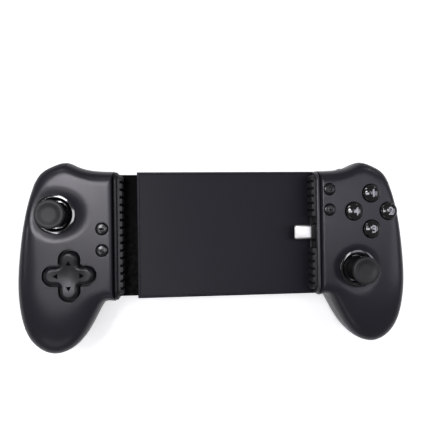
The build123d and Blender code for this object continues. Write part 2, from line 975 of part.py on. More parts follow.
for side, stick_place, small_places in (
    ("left", left_stick_place, left_small_places),
    ("right", right_stick_place, right_small_places),
):
    case_screws(side)
    hinge_pins(side)
    circuit_board(side)
    tact_switches(small_places, side)
    stick_ring(stick_place, side)
    stick_cap(stick_place, side)
    stick_shaft(stick_place, side)
    swivel_block(stick_place, side)
    gimbal(stick_place, side)
    sensor_arch(stick_place, side)
    stick_module(stick_place, side)


# Buttons
def round_button(place, radius, shoulder, rise, foot):
    """Round button with a domed top, from its foot up."""
    x, y = place
    edge_level = face_level + shoulder
    sagitta = rise - shoulder
    dome = (radius**2 + sagitta**2) / (2 * sagitta)
    with BuildPart() as button:
        with BuildSketch(Plane.XZ.offset(-y)):
            with BuildLine():
                Polyline((x, face_level + rise), (x, foot), (x + radius, foot), (x + radius, edge_level))
                RadiusArc((x + radius, edge_level), (x, face_level + rise), -dome)
            make_face()
        revolve(axis=Axis((x, y, 0), (0, 0, 1)))
    return button.part


# Ears keep a face button in; they point along X on the upper and lower one, along Y on the others
for place, name in zip(around(face_button_place, face_button_pitch), ("upper", "outer", "lower", "inner")):
    reach = face_button_radius + button_flange
    along_x, along_y = (reach, ear_half_width) if name in ("upper", "lower") else (ear_half_width, reach)
    with BuildPart() as face_button:
        add(round_button(place, face_button_radius, face_button_shoulder, face_button_rise, button_foot))
        add(
            block(
                (place[0] - along_x, place[1] - along_y, button_foot),
                (place[0] + along_x, place[1] + along_y, button_flange_top),
            )
        )
    finish(face_button.part, "face_button_" + name)


def small_button(place, label, side):
    """Small round button with a flange that is narrow beside the jaw wall."""
    x, y = place
    top = small_sleeve_foot_level - slip_gap
    low = top - small_flange_thickness
    with BuildPart() as button:
        add(round_button(place, small_radius, small_shoulder, small_rise, low))
        add(
            block(
                (x - small_flange_half_x, y - small_flange_half_y, low),
                (x + small_flange_half_x, y + small_flange_half_y, top),
            )
        )
        add(column(place, small_stem_radius, low - small_stem_length, low))
    finish(button.part, label, side)


for side, small_places in (("left", left_small_places), ("right", right_small_places)):
    for place, name in zip(small_places, ("upper", "lower")):
        small_button(place, side + "_small_button_" + name, side)

# Rubber mat under the face buttons, one dome for each
with BuildPart() as right_keypad:
    dome_top = button_foot - face_button_travel - slip_gap
    for place in around(face_button_place, face_button_pitch):
        add(column(place, key_base_radius, board_top, board_top + keypad_thickness))
        with Locations((place[0], place[1], board_top + keypad_thickness)):
            Cone(
                key_dome_radius,
                key_dome_top_radius,
                dome_top - board_top - keypad_thickness,
                align=(Align.CENTER, Align.CENTER, Align.MIN),
            )
    with BuildSketch(Plane.XY.offset(board_top)):
        with Locations(face_button_place):
            Rectangle(face_button_pitch * sqrt(2), face_button_pitch * sqrt(2), rotation=45)
    extrude(amount=keypad_thickness)
finish(right_keypad.part, "right_keypad")

# Direction pad: a cross with round ends, a dished top, arrows and a flange under the face
with BuildPart() as dpad:
    with BuildSketch(Plane.XY.offset(dpad_flange_level - dpad_flange_thickness)):
        with Locations(dpad_place):
            add(dpad_outline(0))
    extrude(amount=face_level + dpad_rise - dpad_flange_level + dpad_flange_thickness)
    fillet(dpad.faces().sort_by(Axis.Z)[-1].edges(), dpad_side_round)
    with Locations((dpad_place[0], dpad_place[1], face_level + dpad_rise + dpad_dish_radius - dpad_dish_depth)):
        Sphere(dpad_dish_radius, mode=Mode.SUBTRACT)
    with BuildSketch(Plane.XY.offset(dpad_flange_level - dpad_flange_thickness)):
        with Locations(dpad_place):
            add(dpad_outline(dpad_flange))
    extrude(amount=dpad_flange_thickness)
    for turn, place in zip(range(4), around(dpad_place, dpad_arrow_place)):
        with BuildSketch(Plane.XY.offset(face_level + dpad_rise - dpad_dish_depth / 2 - dpad_arrow_depth)):
            with Locations(Location((place[0], place[1], 0), (0, 0, 90 - 90 * turn))):
                RegularPolygon(dpad_arrow_size, 3)
        extrude(amount=overrun, mode=Mode.SUBTRACT)
finish(dpad.part, "dpad", "left")

dpad_rocker = column(dpad_place, rocker_radius, rocker_level - rocker_top_reach, rocker_level + rocker_top_reach)
finish(dpad_rocker, "dpad_rocker", "left")

# Rubber mat under the direction pad, with a middle post and four domes
with BuildPart() as left_keypad:
    mat_top = board_top + keypad_thickness
    add(column(dpad_place, dpad_pad_radius, board_top, mat_top))
    add(column(dpad_place, dpad_post_radius, mat_top, rocker_level - rocker_top_reach - slip_gap))
    for place in around(dpad_place, dpad_dome_place):
        with Locations((place[0], place[1], mat_top)):
            Cone(
                dpad_dome_radius,
                dpad_dome_top_radius,
                dpad_dome_level - mat_top,
                align=(Align.CENTER, Align.CENTER, Align.MIN),
            )
finish(left_keypad.part, "left_keypad", "left")


# Shoulder buttons
def bumper(side):
    """Curved strip of the grip's own surface on a hinge arm, with a tab for its switch."""
    x, y = bumper_hinge_place
    with BuildPart() as button:
        add(grip_outer)
        add(grip_volume(bumper_skin), mode=Mode.SUBTRACT)
        add(bumper_zone(0, bumper_press_in, bumper_press_out), mode=Mode.INTERSECT)
        with BuildSketch(Plane.XY.offset(bumper_arm_low)):
            with BuildLine():
                Polyline(
                    (x, y - bumper_hub_radius),
                    (bumper_arm_end_x, bumper_arm_low_y),
                    (bumper_arm_end_x, bumper_arm_end_y),
                    (bumper_arm_root_x, bumper_arm_end_y),
                    (bumper_arm_root_x, bumper_arm_step_y),
                    (x, y + bumper_hub_radius),
                    close=True,
                )
            make_face()
        extrude(amount=bumper_arm_high - bumper_arm_low)
        add(column(bumper_hinge_place, bumper_hub_radius, bumper_low, bumper_pocket_top))
        add(
            block(
                (bumper_tab_x - bumper_tab_half_width, bumper_tab_end_y, bumper_tab_low),
                (bumper_tab_x + bumper_tab_half_width, bumper_tab_root_y, bumper_tab_high),
            )
        )
        add(
            column(bumper_hinge_place, bumper_pin_radius + pin_gap, bumper_low - overrun, bumper_high + overrun),
            mode=Mode.SUBTRACT,
        )
    finish(button.part, side + "_bumper", side)


# Triggers
def trigger(side):
    """Curved lever that flares at its tip and turns on a pin at its top."""
    hub = (trigger_hub_y, trigger_hub_level)
    with BuildPart() as lever:
        with BuildSketch(Plane.YZ.offset(trigger_in_x)):
            with BuildLine():
                Spline(
                    (trigger_front_y, trigger_top),
                    (trigger_belly_y, trigger_belly_level),
                    (trigger_waist_y, trigger_waist_level),
                    (trigger_tip_y, trigger_tip_level),
                )
                Line((trigger_tip_y, trigger_tip_level), (trigger_heel_y, trigger_heel_level))
                Spline(
                    (trigger_heel_y, trigger_heel_level),
                    (trigger_inner_y, trigger_inner_level),
                    (trigger_inner_root_y, trigger_inner_root_level),
                )
                Polyline(
                    (trigger_inner_root_y, trigger_inner_root_level),
                    (trigger_hub_y, trigger_hub_level + trigger_hub_radius),
                    (trigger_front_y, trigger_top),
                )
            make_face()
        extrude(amount=trigger_out_x - trigger_in_x)
        with BuildSketch():
            with BuildLine():
                rim = Spline(*drawn_in(placed(widest_shares), trigger_side_inset))
                Line(rim @ 1, rim @ 0)
            make_face()
        extrude(amount=face_level, mode=Mode.INTERSECT)
        add(rod(trigger_in_x, trigger_out_x, *hub, trigger_hub_radius))
        add(
            rod(trigger_in_x - overrun, trigger_out_x + overrun, *hub, trigger_pin_radius + pin_gap),
            mode=Mode.SUBTRACT,
        )
    finish(lever.part, side + "_trigger", side)


def trigger_spring(side):
    """Space of the spring that pushes the trigger out."""
    start_y = trigger_back_y - running_gap + seat_gap
    with BuildPart() as coil:
        with BuildSketch(Plane.XZ.offset(-start_y)):
            with Locations((trigger_spring_x, trigger_spring_level)):
                Circle(spring_radius)
                Circle(spring_radius - spring_wall, mode=Mode.SUBTRACT)
        extrude(amount=start_y - trigger_spring_end_y)
    finish(coil.part, side + "_trigger_spring", side)


for side in ("left", "right"):
    bumper(side)
    trigger(side)
    trigger_spring(side)


# Jaws: a frame on each grip's inner wall and a ribbed pad on the frame
def side_frame(side, low):
    """Frame on the jaw wall, with the plug's window on the right."""
    with BuildPart() as frame:
        add(
            block(
                (frame_in_x, frame_low_y, low),
                (frame_in_x + frame_thickness, frame_high_y, frame_top),
            )
        )
        fillet(frame.edges().filter_by(Axis.X).group_by(Axis.Z)[-1], frame_corner)
        fillet(frame.faces().filter_by(Axis.Z).sort_by(Axis.Z)[-1].edges().sort_by(Axis.X)[0], frame_round)
        if side == "right":
            add(collar_window(frame_in_x - overrun, jaw_wall_x), mode=Mode.SUBTRACT)
    finish(frame.part, side + "_side_frame", side)


def side_pad(side):
    """Rubber pad with upright teeth, opened around the plug on the right."""
    low = bed_level + running_gap
    with BuildPart() as pad:
        add(
            block(
                (pad_in_x - pad_tooth, pad_y - pad_half, low),
                (pad_in_x + pad_base, pad_y + pad_half, pad_top),
            )
        )
        fillet(pad.edges().filter_by(Axis.X).group_by(Axis.Z)[-1], pad_corner)
        for turn in range(tooth_gap_count):
            middle = pad_y + (turn - (tooth_gap_count - 1) / 2) * tooth_pitch
            add(
                block(
                    (pad_in_x - pad_tooth, middle - tooth_gap / 2, low),
                    (pad_in_x, middle + tooth_gap / 2, pad_top),
                ),
                mode=Mode.SUBTRACT,
            )
        if side == "right":
            add(
                block(
                    (pad_in_x - pad_tooth, plug_y - plug_recess_half, low),
                    (pad_in_x, plug_y + plug_recess_half, pad_top),
                ),
                mode=Mode.SUBTRACT,
            )
            add(
                block(
                    (pad_in_x, plug_y - plug_recess_half, low + plug_recess_web),
                    (pad_in_x + pad_base, plug_y + plug_recess_half, pad_top),
                ),
                mode=Mode.SUBTRACT,
            )
    finish(pad.part, side + "_side_pad", side)


side_frame("left", sled_high + seat_gap)
side_frame("right", bed_level + seat_gap)
side_pad("left")
side_pad("right")

# Plug that goes into the phone
plug_plane = Plane(origin=(plug_tip_x, plug_y, plug_level), x_dir=(0, 1, 0), z_dir=(1, 0, 0))
collar_plane = plug_plane.offset(collar_face_x - plug_tip_x)
shell_length = collar_face_x + plug_root - plug_tip_x

with BuildPart() as usb_plug_shell:
    with BuildSketch(plug_plane):
        SlotOverall(plug_width, plug_height)
        SlotOverall(plug_width - 2 * plug_wall, plug_height - 2 * plug_wall, mode=Mode.SUBTRACT)
    extrude(amount=shell_length)
finish(usb_plug_shell.part, "usb_plug_shell")

with BuildPart() as usb_plug_liner:
    liner_gap = plug_wall + pin_gap
    with BuildSketch(plug_plane.offset(liner_setback)):
        SlotOverall(plug_width - 2 * liner_gap, plug_height - 2 * liner_gap)
        SlotOverall(
            plug_width - 2 * (liner_gap + liner_wall),
            plug_height - 2 * (liner_gap + liner_wall),
            mode=Mode.SUBTRACT,
        )
    extrude(amount=shell_length - liner_setback)
finish(usb_plug_liner.part, "usb_plug_liner")

with BuildPart() as usb_plug_collar:
    with BuildSketch(collar_plane):
        RectangleRounded(collar_width, collar_height, collar_round)
    extrude(amount=collar_end_x - collar_face_x)
    with BuildSketch(collar_plane):
        SlotOverall(plug_width + 2 * pin_gap, plug_height + 2 * pin_gap)
    extrude(amount=plug_root + seat_gap, mode=Mode.SUBTRACT)
finish(usb_plug_collar.part, "usb_plug_collar")

# Bridge covers, cut from one rounded box section at their parting level
bridge_plane = Plane(origin=(-bridge_end_x, bridge_y, 0), x_dir=(0, 1, 0), z_dir=(1, 0, 0))
bridge_length = bridge_end_x + jaw_wall_x - seat_gap


def box_section(breadth, low, high, low_round, high_round):
    """Upright section with its lower corners rounded more than its upper ones."""
    with BuildSketch() as section:
        with Locations((0, (low + high) / 2)):
            Rectangle(breadth, high - low)
        fillet(section.vertices().group_by(Axis.Y)[0], low_round)
        if high_round:
            fillet(section.vertices().group_by(Axis.Y)[-1], high_round)
    return section.sketch


with BuildPart() as bridge_tube:
    with BuildSketch(bridge_plane):
        add(box_section(bridge_breadth, bridge_back_level, bed_level, bridge_back_round, bridge_bed_round))
        add(
            box_section(
                bridge_breadth - 2 * bridge_side_wall,
                bridge_back_level + bridge_floor,
                bed_level - bridge_bed_wall,
                bridge_back_round - bridge_side_wall,
                0,
            ),
            mode=Mode.SUBTRACT,
        )
    extrude(amount=bridge_length)

post_places = [
    (x, bridge_y + turn * bridge_post_offset)
    for x in (-bridge_post_x, bridge_far_post_x)
    for turn in (-1, 1)
]
bridge_ceiling = bed_level - bridge_bed_wall
bridge_screw_tip = bed_level - bridge_screw_end

with BuildPart() as bridge_front_cover:
    add(bridge_tube.part)
    split(bisect_by=Plane.XY.offset(bridge_split_level), keep=Keep.TOP)
    add(
        block(
            (
                -bridge_end_x + bed_rim,
                bridge_y - bridge_breadth / 2 + bed_rim,
                bed_level - bed_recess,
            ),
            (jaw_wall_x, bridge_y + bridge_breadth / 2 - bed_rim, bed_level),
        ),
        mode=Mode.SUBTRACT,
    )
    for place in post_places:
        add(
            column(place, bridge_screw_radius + pin_gap, bridge_ceiling, bridge_screw_tip - bed_recess + seat_gap),
            mode=Mode.SUBTRACT,
        )
finish(bridge_front_cover.part, "bridge_front_cover")

head_top = bridge_back_level + bridge_screw_head_height + seat_gap

with BuildPart() as bridge_rear_cover:
    add(bridge_tube.part)
    split(bisect_by=Plane.XY.offset(bridge_split_level - seat_gap), keep=Keep.BOTTOM)
    for place in post_places:
        add(column(place, bridge_post_radius, bridge_back_level + bridge_floor, bridge_ceiling - seat_gap))
        add(column(place, bridge_screw_head_radius + running_gap, bridge_back_level, head_top), mode=Mode.SUBTRACT)
        add(column(place, bridge_screw_radius + pin_gap, bridge_back_level, bed_level), mode=Mode.SUBTRACT)
    add(
        block(
            (tongue_block_x, tongue_low_y, bridge_back_level + bridge_floor),
            (jaw_wall_x - seat_gap, tongue_high_y, tongue_low + tongue_thickness),
        )
    )
    add(
        block(
            (jaw_wall_x - seat_gap, tongue_low_y, tongue_low),
            (tongue_end_x, tongue_high_y, tongue_low + tongue_thickness),
        )
    )
    for y in tongue_screw_ys:
        add(
            column((tongue_screw_x, y), tongue_screw_radius + pin_gap, bridge_back_level, bridge_split_level),
            mode=Mode.SUBTRACT,
        )
    for turn in (-1, 1):
        place = (anchor_x, bridge_y + turn * slide_spring_offset)
        add(column(place, anchor_radius, tongue_low + tongue_thickness, anchor_top))
finish(bridge_rear_cover.part, "bridge_rear_cover")


# Screws of the bridge and of the tongues
def tongue_screws():
    """Two screws that tie a tongue to its grip, drawn for the right hand."""
    head_low = tongue_low + tongue_thickness
    with BuildPart() as screws:
        for y in tongue_screw_ys:
            place = (tongue_screw_x, y)
            add(column(place, tongue_screw_radius, tongue_screw_tip, head_low))
            add(column(place, tongue_head_radius, head_low, head_low + tongue_head_height))
    return screws.part


finish(tongue_screws(), "left_tongue_screws", "left")
finish(tongue_screws(), "right_tongue_screws")

with BuildPart() as bridge_screws:
    for place in post_places:
        add(column(place, bridge_screw_head_radius, head_top - bridge_screw_head_height, head_top))
        add(column(place, bridge_screw_radius, head_top, bridge_screw_tip - bed_recess))
finish(bridge_screws.part, "bridge_screws")

# Sled: a flat tube on the left grip that runs in the bridge, slotted for the bridge's posts
sled_start_x = -jaw_wall_x + 2 * seat_gap
slot_start_x = -bridge_post_x - bridge_post_radius - slip_gap
slot_end_x = -bridge_post_x + slide_travel + bridge_post_radius + slip_gap

with BuildPart() as slide_sled:
    with BuildSketch(Plane(origin=(sled_start_x, bridge_y, 0), x_dir=(0, 1, 0), z_dir=(1, 0, 0))):
        add(box_section(sled_breadth, sled_low, sled_high, bridge_back_round - bridge_side_wall, bridge_bed_round))
        add(
            box_section(
                sled_breadth - 2 * sled_wall,
                sled_low + sled_wall,
                sled_high - sled_wall,
                sled_wall,
                0,
            ),
            mode=Mode.SUBTRACT,
        )
    extrude(amount=sled_end_x - sled_start_x)
    add(
        block(
            (sled_rib_x - sled_rib_half, bridge_y - sled_breadth / 2 + sled_wall, sled_low + sled_wall),
            (sled_rib_x + sled_rib_half, bridge_y + sled_breadth / 2 - sled_wall, sled_high - sled_wall),
        )
    )
    add(
        block(
            (sled_rib_x - sled_rib_half, bridge_y - sled_window_half_y, sled_low + sled_wall),
            (sled_rib_x + sled_rib_half, bridge_y + sled_window_half_y, sled_high - sled_wall),
        ),
        mode=Mode.SUBTRACT,
    )
    for turn in (-1, 1):
        y = bridge_y + turn * bridge_post_offset
        half = bridge_post_radius + slip_gap
        add(
            block((slot_start_x, y - half, sled_low - overrun), (slot_end_x, y + half, sled_high + overrun)),
            mode=Mode.SUBTRACT,
        )
    add(
        block(
            (-tongue_end_x, tongue_low_y, tongue_low),
            (sled_start_x + sled_wall, tongue_high_y, tongue_low + tongue_thickness),
        )
    )
    for y in tongue_screw_ys:
        add(
            column((-tongue_screw_x, y), tongue_screw_radius + pin_gap, sled_low, sled_high),
            mode=Mode.SUBTRACT,
        )
finish(slide_sled.part, "slide_sled")

# Space of the two springs that draw the sled in
with BuildPart() as slide_springs:
    for turn in (-1, 1):
        with BuildSketch(Plane.YZ.offset(spring_start_x)):
            with Locations((bridge_y + turn * slide_spring_offset, slide_spring_level)):
                Circle(spring_radius)
                Circle(spring_radius - spring_wall, mode=Mode.SUBTRACT)
        extrude(amount=slide_spring_end_x - spring_start_x)
finish(slide_springs.part, "slide_springs")

# Ribbon cable, folded twice so that it can pay out as the grips part
ribbon_top = ribbon_low + 4 * ribbon_fold
with BuildPart() as ribbon_cable:
    with BuildSketch(Plane.XZ.offset(-bridge_y - ribbon_half_width)):
        with BuildLine() as route:
            Polyline(
                (-ribbon_end_x, board_level - ribbon_fold / 2),
                (-ribbon_end_x, ribbon_low),
                (ribbon_far_fold_x, ribbon_low),
            )
            RadiusArc(
                (ribbon_far_fold_x, ribbon_low),
                (ribbon_far_fold_x, ribbon_low + 2 * ribbon_fold),
                -ribbon_fold,
            )
            Line(
                (ribbon_far_fold_x, ribbon_low + 2 * ribbon_fold),
                (-ribbon_near_fold_x, ribbon_low + 2 * ribbon_fold),
            )
            RadiusArc(
                (-ribbon_near_fold_x, ribbon_low + 2 * ribbon_fold),
                (-ribbon_near_fold_x, ribbon_top),
                ribbon_fold,
            )
            Polyline(
                (-ribbon_near_fold_x, ribbon_top),
                (ribbon_end_x, ribbon_top),
                (ribbon_end_x, board_level - ribbon_fold / 2),
            )
            offset(amount=ribbon_thickness / 2, kind=Kind.INTERSECTION)
        make_face()
    extrude(amount=2 * ribbon_half_width)
finish(ribbon_cable.part, "ribbon_cable")
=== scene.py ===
# %% [markdown]
# # A stretch controller for a phone
# The object is a game controller in two halves. A phone lies on the bridge between them, and the
# left half slides out until the phone fits between two ribbed jaws.
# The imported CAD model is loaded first. It is the fixed frame: every piece made below is in metres
# in the same space, so a piece goes where the CAD says, with no fitting by eye.

# %% Load the frame
import bpy
import bmesh
import json
from math import cos, pi, radians, sin, sqrt
from mathutils import Matrix, Vector


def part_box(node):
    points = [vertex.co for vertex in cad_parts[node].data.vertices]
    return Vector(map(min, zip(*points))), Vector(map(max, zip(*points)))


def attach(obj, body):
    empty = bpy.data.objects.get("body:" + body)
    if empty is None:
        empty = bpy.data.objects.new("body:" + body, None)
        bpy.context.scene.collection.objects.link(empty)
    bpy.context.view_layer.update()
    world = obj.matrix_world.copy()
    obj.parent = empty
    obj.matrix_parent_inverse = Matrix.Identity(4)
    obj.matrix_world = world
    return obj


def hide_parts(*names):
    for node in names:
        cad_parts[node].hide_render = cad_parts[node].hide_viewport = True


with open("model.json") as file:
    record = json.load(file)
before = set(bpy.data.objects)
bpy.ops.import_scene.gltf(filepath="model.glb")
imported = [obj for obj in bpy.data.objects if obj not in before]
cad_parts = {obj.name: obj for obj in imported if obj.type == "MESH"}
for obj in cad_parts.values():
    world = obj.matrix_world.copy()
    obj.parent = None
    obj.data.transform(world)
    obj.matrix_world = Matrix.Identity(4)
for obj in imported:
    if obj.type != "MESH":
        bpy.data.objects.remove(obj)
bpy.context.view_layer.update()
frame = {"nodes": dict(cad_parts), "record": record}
nodes = frame["nodes"]
MM = 0.001

# %% [markdown]
# ## Camera
# The photo was taken from almost straight above, a little left of the middle. The camera's place
# and turn were worked out from the plug's width and from edges whose sizes are known, so the render
# shows the same perspective. The three directions below are the camera's right, up and back.

# %% Place the camera
CAMERA_PLACE = (-24.70 * MM, 21.21 * MM, 272.74 * MM)
camera_data = bpy.data.cameras.new("camera")
camera_data.sensor_width = 36
camera_data.lens = 35.18
camera = bpy.data.objects.new("camera", camera_data)
bpy.context.scene.collection.objects.link(camera)
camera_right = Vector((0.9954, -0.0135, 0.0947)).normalized()
camera_back = Vector((-0.0948, -0.0087, 0.9955)).normalized()
camera_up = camera_back.cross(camera_right).normalized()
camera_right = camera_up.cross(camera_back)
camera.matrix_world = Matrix((
    (camera_right.x, camera_up.x, camera_back.x, CAMERA_PLACE[0]),
    (camera_right.y, camera_up.y, camera_back.y, CAMERA_PLACE[1]),
    (camera_right.z, camera_up.z, camera_back.z, CAMERA_PLACE[2]),
    (0, 0, 0, 1),
))
bpy.context.scene.camera = camera
bpy.context.scene.view_settings.view_transform = "Standard"
print("camera stands", round(camera.location.z / MM), "mm above the floor")

# %% [markdown]
# ## Lamps
# The photo is lit from large soft sources, and what the object mirrors tells where they stood: a
# lamp lies where the camera's line of sight bounces off a bright spot. Three windows on the left
# light the left grip's face and leave marks on the left of each face button. The ones on the right
# whiten the plug and lay a soft patch over the numerals. The narrow strips draw the thin lines
# round the sticks. Glossy plastic shows a lamp's outline, so each one is an area lamp with a shape.

# %% Lamps
WINDOW_TINT = (0.96, 0.935, 1.0)
LAMPS = [
    ("far_window", (-0.285, 0.20, 0.90), (-0.08, 0.03, 0.04), (0.30, 0.15), 2.8, WINDOW_TINT),
    ("middle_window", (-0.10, 0.01, 0.90), (-0.06, 0.01, 0.04), (0.20, 0.30), 1.0, WINDOW_TINT),
    ("near_window", (-0.365, -0.175, 0.90), (-0.09, 0.02, 0.04), (0.28, 0.06), 0.40, WINDOW_TINT),
    ("plug_window", (0.29, 0.07, 0.90), (0.06, 0.02, 0.04), (0.28, 0.09), 0.46, (0.96, 0.95, 1.0)),
    ("right_window", (0.47, 0.11, 0.90), (0.08, 0.01, 0.04), (0.30, 0.18), 0.35, (0.86, 0.87, 1.0)),
    ("right_panel", (0.80, 0.02, 0.66), (0.08, 0, 0.04), (0.40, 0.50), 1.2, (0.88, 0.88, 1.0)),
    ("left_slit", (-0.85, 0.02, 0.52), (-0.08, 0.02, 0.04), (0.05, 0.20), 0.3, (1, 1, 1)),
    ("far_left_strip", (-0.42, 0.72, 0.75), (-0.09, 0.04, 0.04), (0.42, 0.08), 0.6, (1, 1, 1)),
    ("far_right_strip", (0.75, 0.75, 0.55), (0.08, 0.04, 0.04), (0.30, 0.08), 0.5, (1, 1, 1)),
    ("near_strip", (-0.30, -0.75, 0.50), (-0.09, 0.02, 0.04), (0.60, 0.10), 0.3, (1, 1, 1)),
]


def area_lamp(name, place, aim, size, watts, tint):
    """A rectangular lamp that shines from one point to another."""
    data = bpy.data.lights.new(name, "AREA")
    data.shape = "RECTANGLE"
    data.size, data.size_y = size
    data.energy = watts
    data.color = tint
    lamp = bpy.data.objects.new(name, data)
    lamp.location = place
    lamp.rotation_mode = "QUATERNION"
    lamp.rotation_quaternion = (Vector(place) - Vector(aim)).to_track_quat("Z", "Y")
    bpy.context.scene.collection.objects.link(lamp)


for lamp_values in LAMPS:
    area_lamp(*lamp_values)
print(len(LAMPS), "lamps,", round(sum(values[4] for values in LAMPS), 1), "watts in all")

# %% [markdown]
# ## Nodes in code
# A material is a tree of nodes. Four small helpers keep the code for a tree as short as its drawing
# would be: one gives a material's or world's tree, one puts a node in it with its settings, one
# joins outputs to inputs, and one does a sum with numbers or outputs.

# %% Helpers for node trees
def tree_of(owner):
    """The node tree of a material or world."""
    owner.use_nodes = True
    return owner.node_tree


def put(tree, kind, inputs=None, **settings):
    """A node in a tree, with its settings and its constant inputs."""
    node = tree.nodes.new(kind)
    for key, value in settings.items():
        setattr(node, key, value)
    for key, value in (inputs or {}).items():
        node.inputs[key].default_value = value
    return node


def join(tree, *links):
    """Links in a tree, each from a node's output to another node's input."""
    for source, output, target, entry in links:
        tree.links.new(source.outputs[output], target.inputs[entry])


def maths(tree, operation, *values, **settings):
    """The output of a math node. Each value is a number, or an output to link."""
    node = put(tree, "ShaderNodeMath", operation=operation, **settings)
    for entry, value in zip(node.inputs, values):
        if isinstance(value, (int, float)):
            entry.default_value = value
        else:
            tree.links.new(value, entry)
    return node.outputs["Value"]


# %% [markdown]
# ## Room and floor
# The photo's background is pure white, but white walls all round would flood dark plastic with
# light. So the room is dim and even, and the white is there for the camera's own rays. Below the
# horizon, where the paper would lie, rays through glass see it too, and mirrored rays see a share
# of it. The floor does the same with a glow, and stays a plain surface that takes the shadow.

# %% White for the camera only
MIRRORED_SHARE = 0.3


def seen_directly(tree, mask=1.0):
    """1 for camera rays, and the mask or a share of it for rays through glass or off a mirror."""
    path = put(tree, "ShaderNodeLightPath").outputs
    mirrored = maths(tree, "MULTIPLY", path["Is Glossy Ray"], MIRRORED_SHARE)
    second_hand = maths(tree, "MAXIMUM", mirrored, path["Is Transmission Ray"])
    masked = maths(tree, "MULTIPLY", second_hand, mask)
    return maths(tree, "MAXIMUM", path["Is Camera Ray"], masked)


# %% World
ROOM_LEVEL = 0.13
BACKDROP_TOP, BACKDROP_FADE = 0.12, 0.15

world = bpy.data.worlds.new("studio")
bpy.context.scene.world = world
room = tree_of(world)
background = room.nodes["Background"]
background.inputs["Color"].default_value = (1, 1, 1, 1)
direction = put(room, "ShaderNodeTexCoord")
direction_parts = put(room, "ShaderNodeSeparateXYZ")
backdrop = put(room, "ShaderNodeMapRange", {
    "From Min": BACKDROP_TOP, "From Max": BACKDROP_TOP - BACKDROP_FADE,
})
strength = put(room, "ShaderNodeMix", {"A": ROOM_LEVEL, "B": 1.0}, data_type="FLOAT")
join(
    room,
    (direction, "Generated", direction_parts, "Vector"),
    (direction_parts, "Z", backdrop, "Value"),
    (strength, "Result", background, "Strength"),
)
room.links.new(seen_directly(room, backdrop.outputs["Result"]), strength.inputs["Factor"])
print("the room's level is", ROOM_LEVEL)

# %% Floor
FLOOR_REACH, FLOOR_DROP = 4, 0.0002
FLOOR_GREY, FLOOR_GLOW = 0.86, 0.55

floor_material = bpy.data.materials.new("white_floor")
paper = tree_of(floor_material)
paper_surface = paper.nodes["Principled BSDF"]
paper_surface.inputs["Base Color"].default_value = (FLOOR_GREY, FLOOR_GREY, FLOOR_GREY, 1)
paper_surface.inputs["Roughness"].default_value = 0.9
paper_surface.inputs["Emission Color"].default_value = (1, 1, 1, 1)
glow = maths(paper, "MULTIPLY", seen_directly(paper), FLOOR_GLOW)
paper.links.new(glow, paper_surface.inputs["Emission Strength"])

floor_mesh = bpy.data.meshes.new("floor")
floor_corners = [(FLOOR_REACH * x, FLOOR_REACH * y, 0) for x, y in ((-1, -1), (1, -1), (1, 1), (-1, 1))]
floor_mesh.from_pydata(floor_corners, [], [(0, 1, 2, 3)])
floor_mesh.materials.append(floor_material)
floor = bpy.data.objects.new("floor", floor_mesh)
floor.location.z = -FLOOR_DROP
bpy.context.scene.collection.objects.link(floor)
print("floor of", 2 * FLOOR_REACH, "metres")

# %% [markdown]
# ## Surface effects that several plastics share
# Moulded plastic is never quite even. A mould that was spark eroded leaves a fine grain, hands
# leave faint smears in the shine, and corners wear a little paler. Each effect is a node group with
# its own named inputs, built once and set differently in each material.

# %% Node group: moulded grain
def group_tree(name, inputs, output, output_kind):
    """An empty shader node group with its sockets, and its input and output nodes."""
    tree = bpy.data.node_groups.new(name, "ShaderNodeTree")
    for label, kind, value in inputs:
        entry = tree.interface.new_socket(name=label, in_out="INPUT", socket_type=kind)
        entry.default_value = value
    tree.interface.new_socket(name=output, in_out="OUTPUT", socket_type=output_kind)
    return tree, put(tree, "NodeGroupInput"), put(tree, "NodeGroupOutput")


grain, grain_in, grain_out = group_tree(
    "moulded_grain", [("Grains per metre", "NodeSocketFloat", 2600.0)], "Height", "NodeSocketFloat"
)
grain_place = put(grain, "ShaderNodeTexCoord")
grain_coarse = put(grain, "ShaderNodeTexNoise", {"Detail": 3.0, "Roughness": 0.6})
grain_cells = put(grain, "ShaderNodeTexVoronoi", feature="SMOOTH_F1")
for texture in (grain_coarse, grain_cells):
    join(grain, (grain_place, "Object", texture, "Vector"), (grain_in, "Grains per metre", texture, "Scale"))
grain_height = maths(grain, "ADD", grain_coarse.outputs["Fac"], grain_cells.outputs["Distance"])
grain.links.new(grain_height, grain_out.inputs["Height"])
print("grain from", len(grain.nodes), "nodes")

# %% Node group: handling smears
smears, smears_in, smears_out = group_tree(
    "handling_smears",
    [("Roughness", "NodeSocketFloat", 0.5), ("Amount", "NodeSocketFloat", 0.08),
     ("Smears per metre", "NodeSocketFloat", 55.0)],
    "Roughness", "NodeSocketFloat",
)
smears_place = put(smears, "ShaderNodeTexCoord")
smears_noise = put(smears, "ShaderNodeTexNoise", {"Detail": 4.0, "Roughness": 0.55, "Distortion": 1.2})
join(
    smears,
    (smears_place, "Object", smears_noise, "Vector"),
    (smears_in, "Smears per metre", smears_noise, "Scale"),
)
smears_centred = maths(smears, "SUBTRACT", smears_noise.outputs["Fac"], 0.5)
smears_scaled = maths(smears, "MULTIPLY", smears_centred, smears_in.outputs["Amount"])
smears_added = maths(smears, "ADD", smears_scaled, smears_in.outputs["Roughness"])
smears.links.new(smears_added, smears_out.inputs["Roughness"])
print("smears from", len(smears.nodes), "nodes")

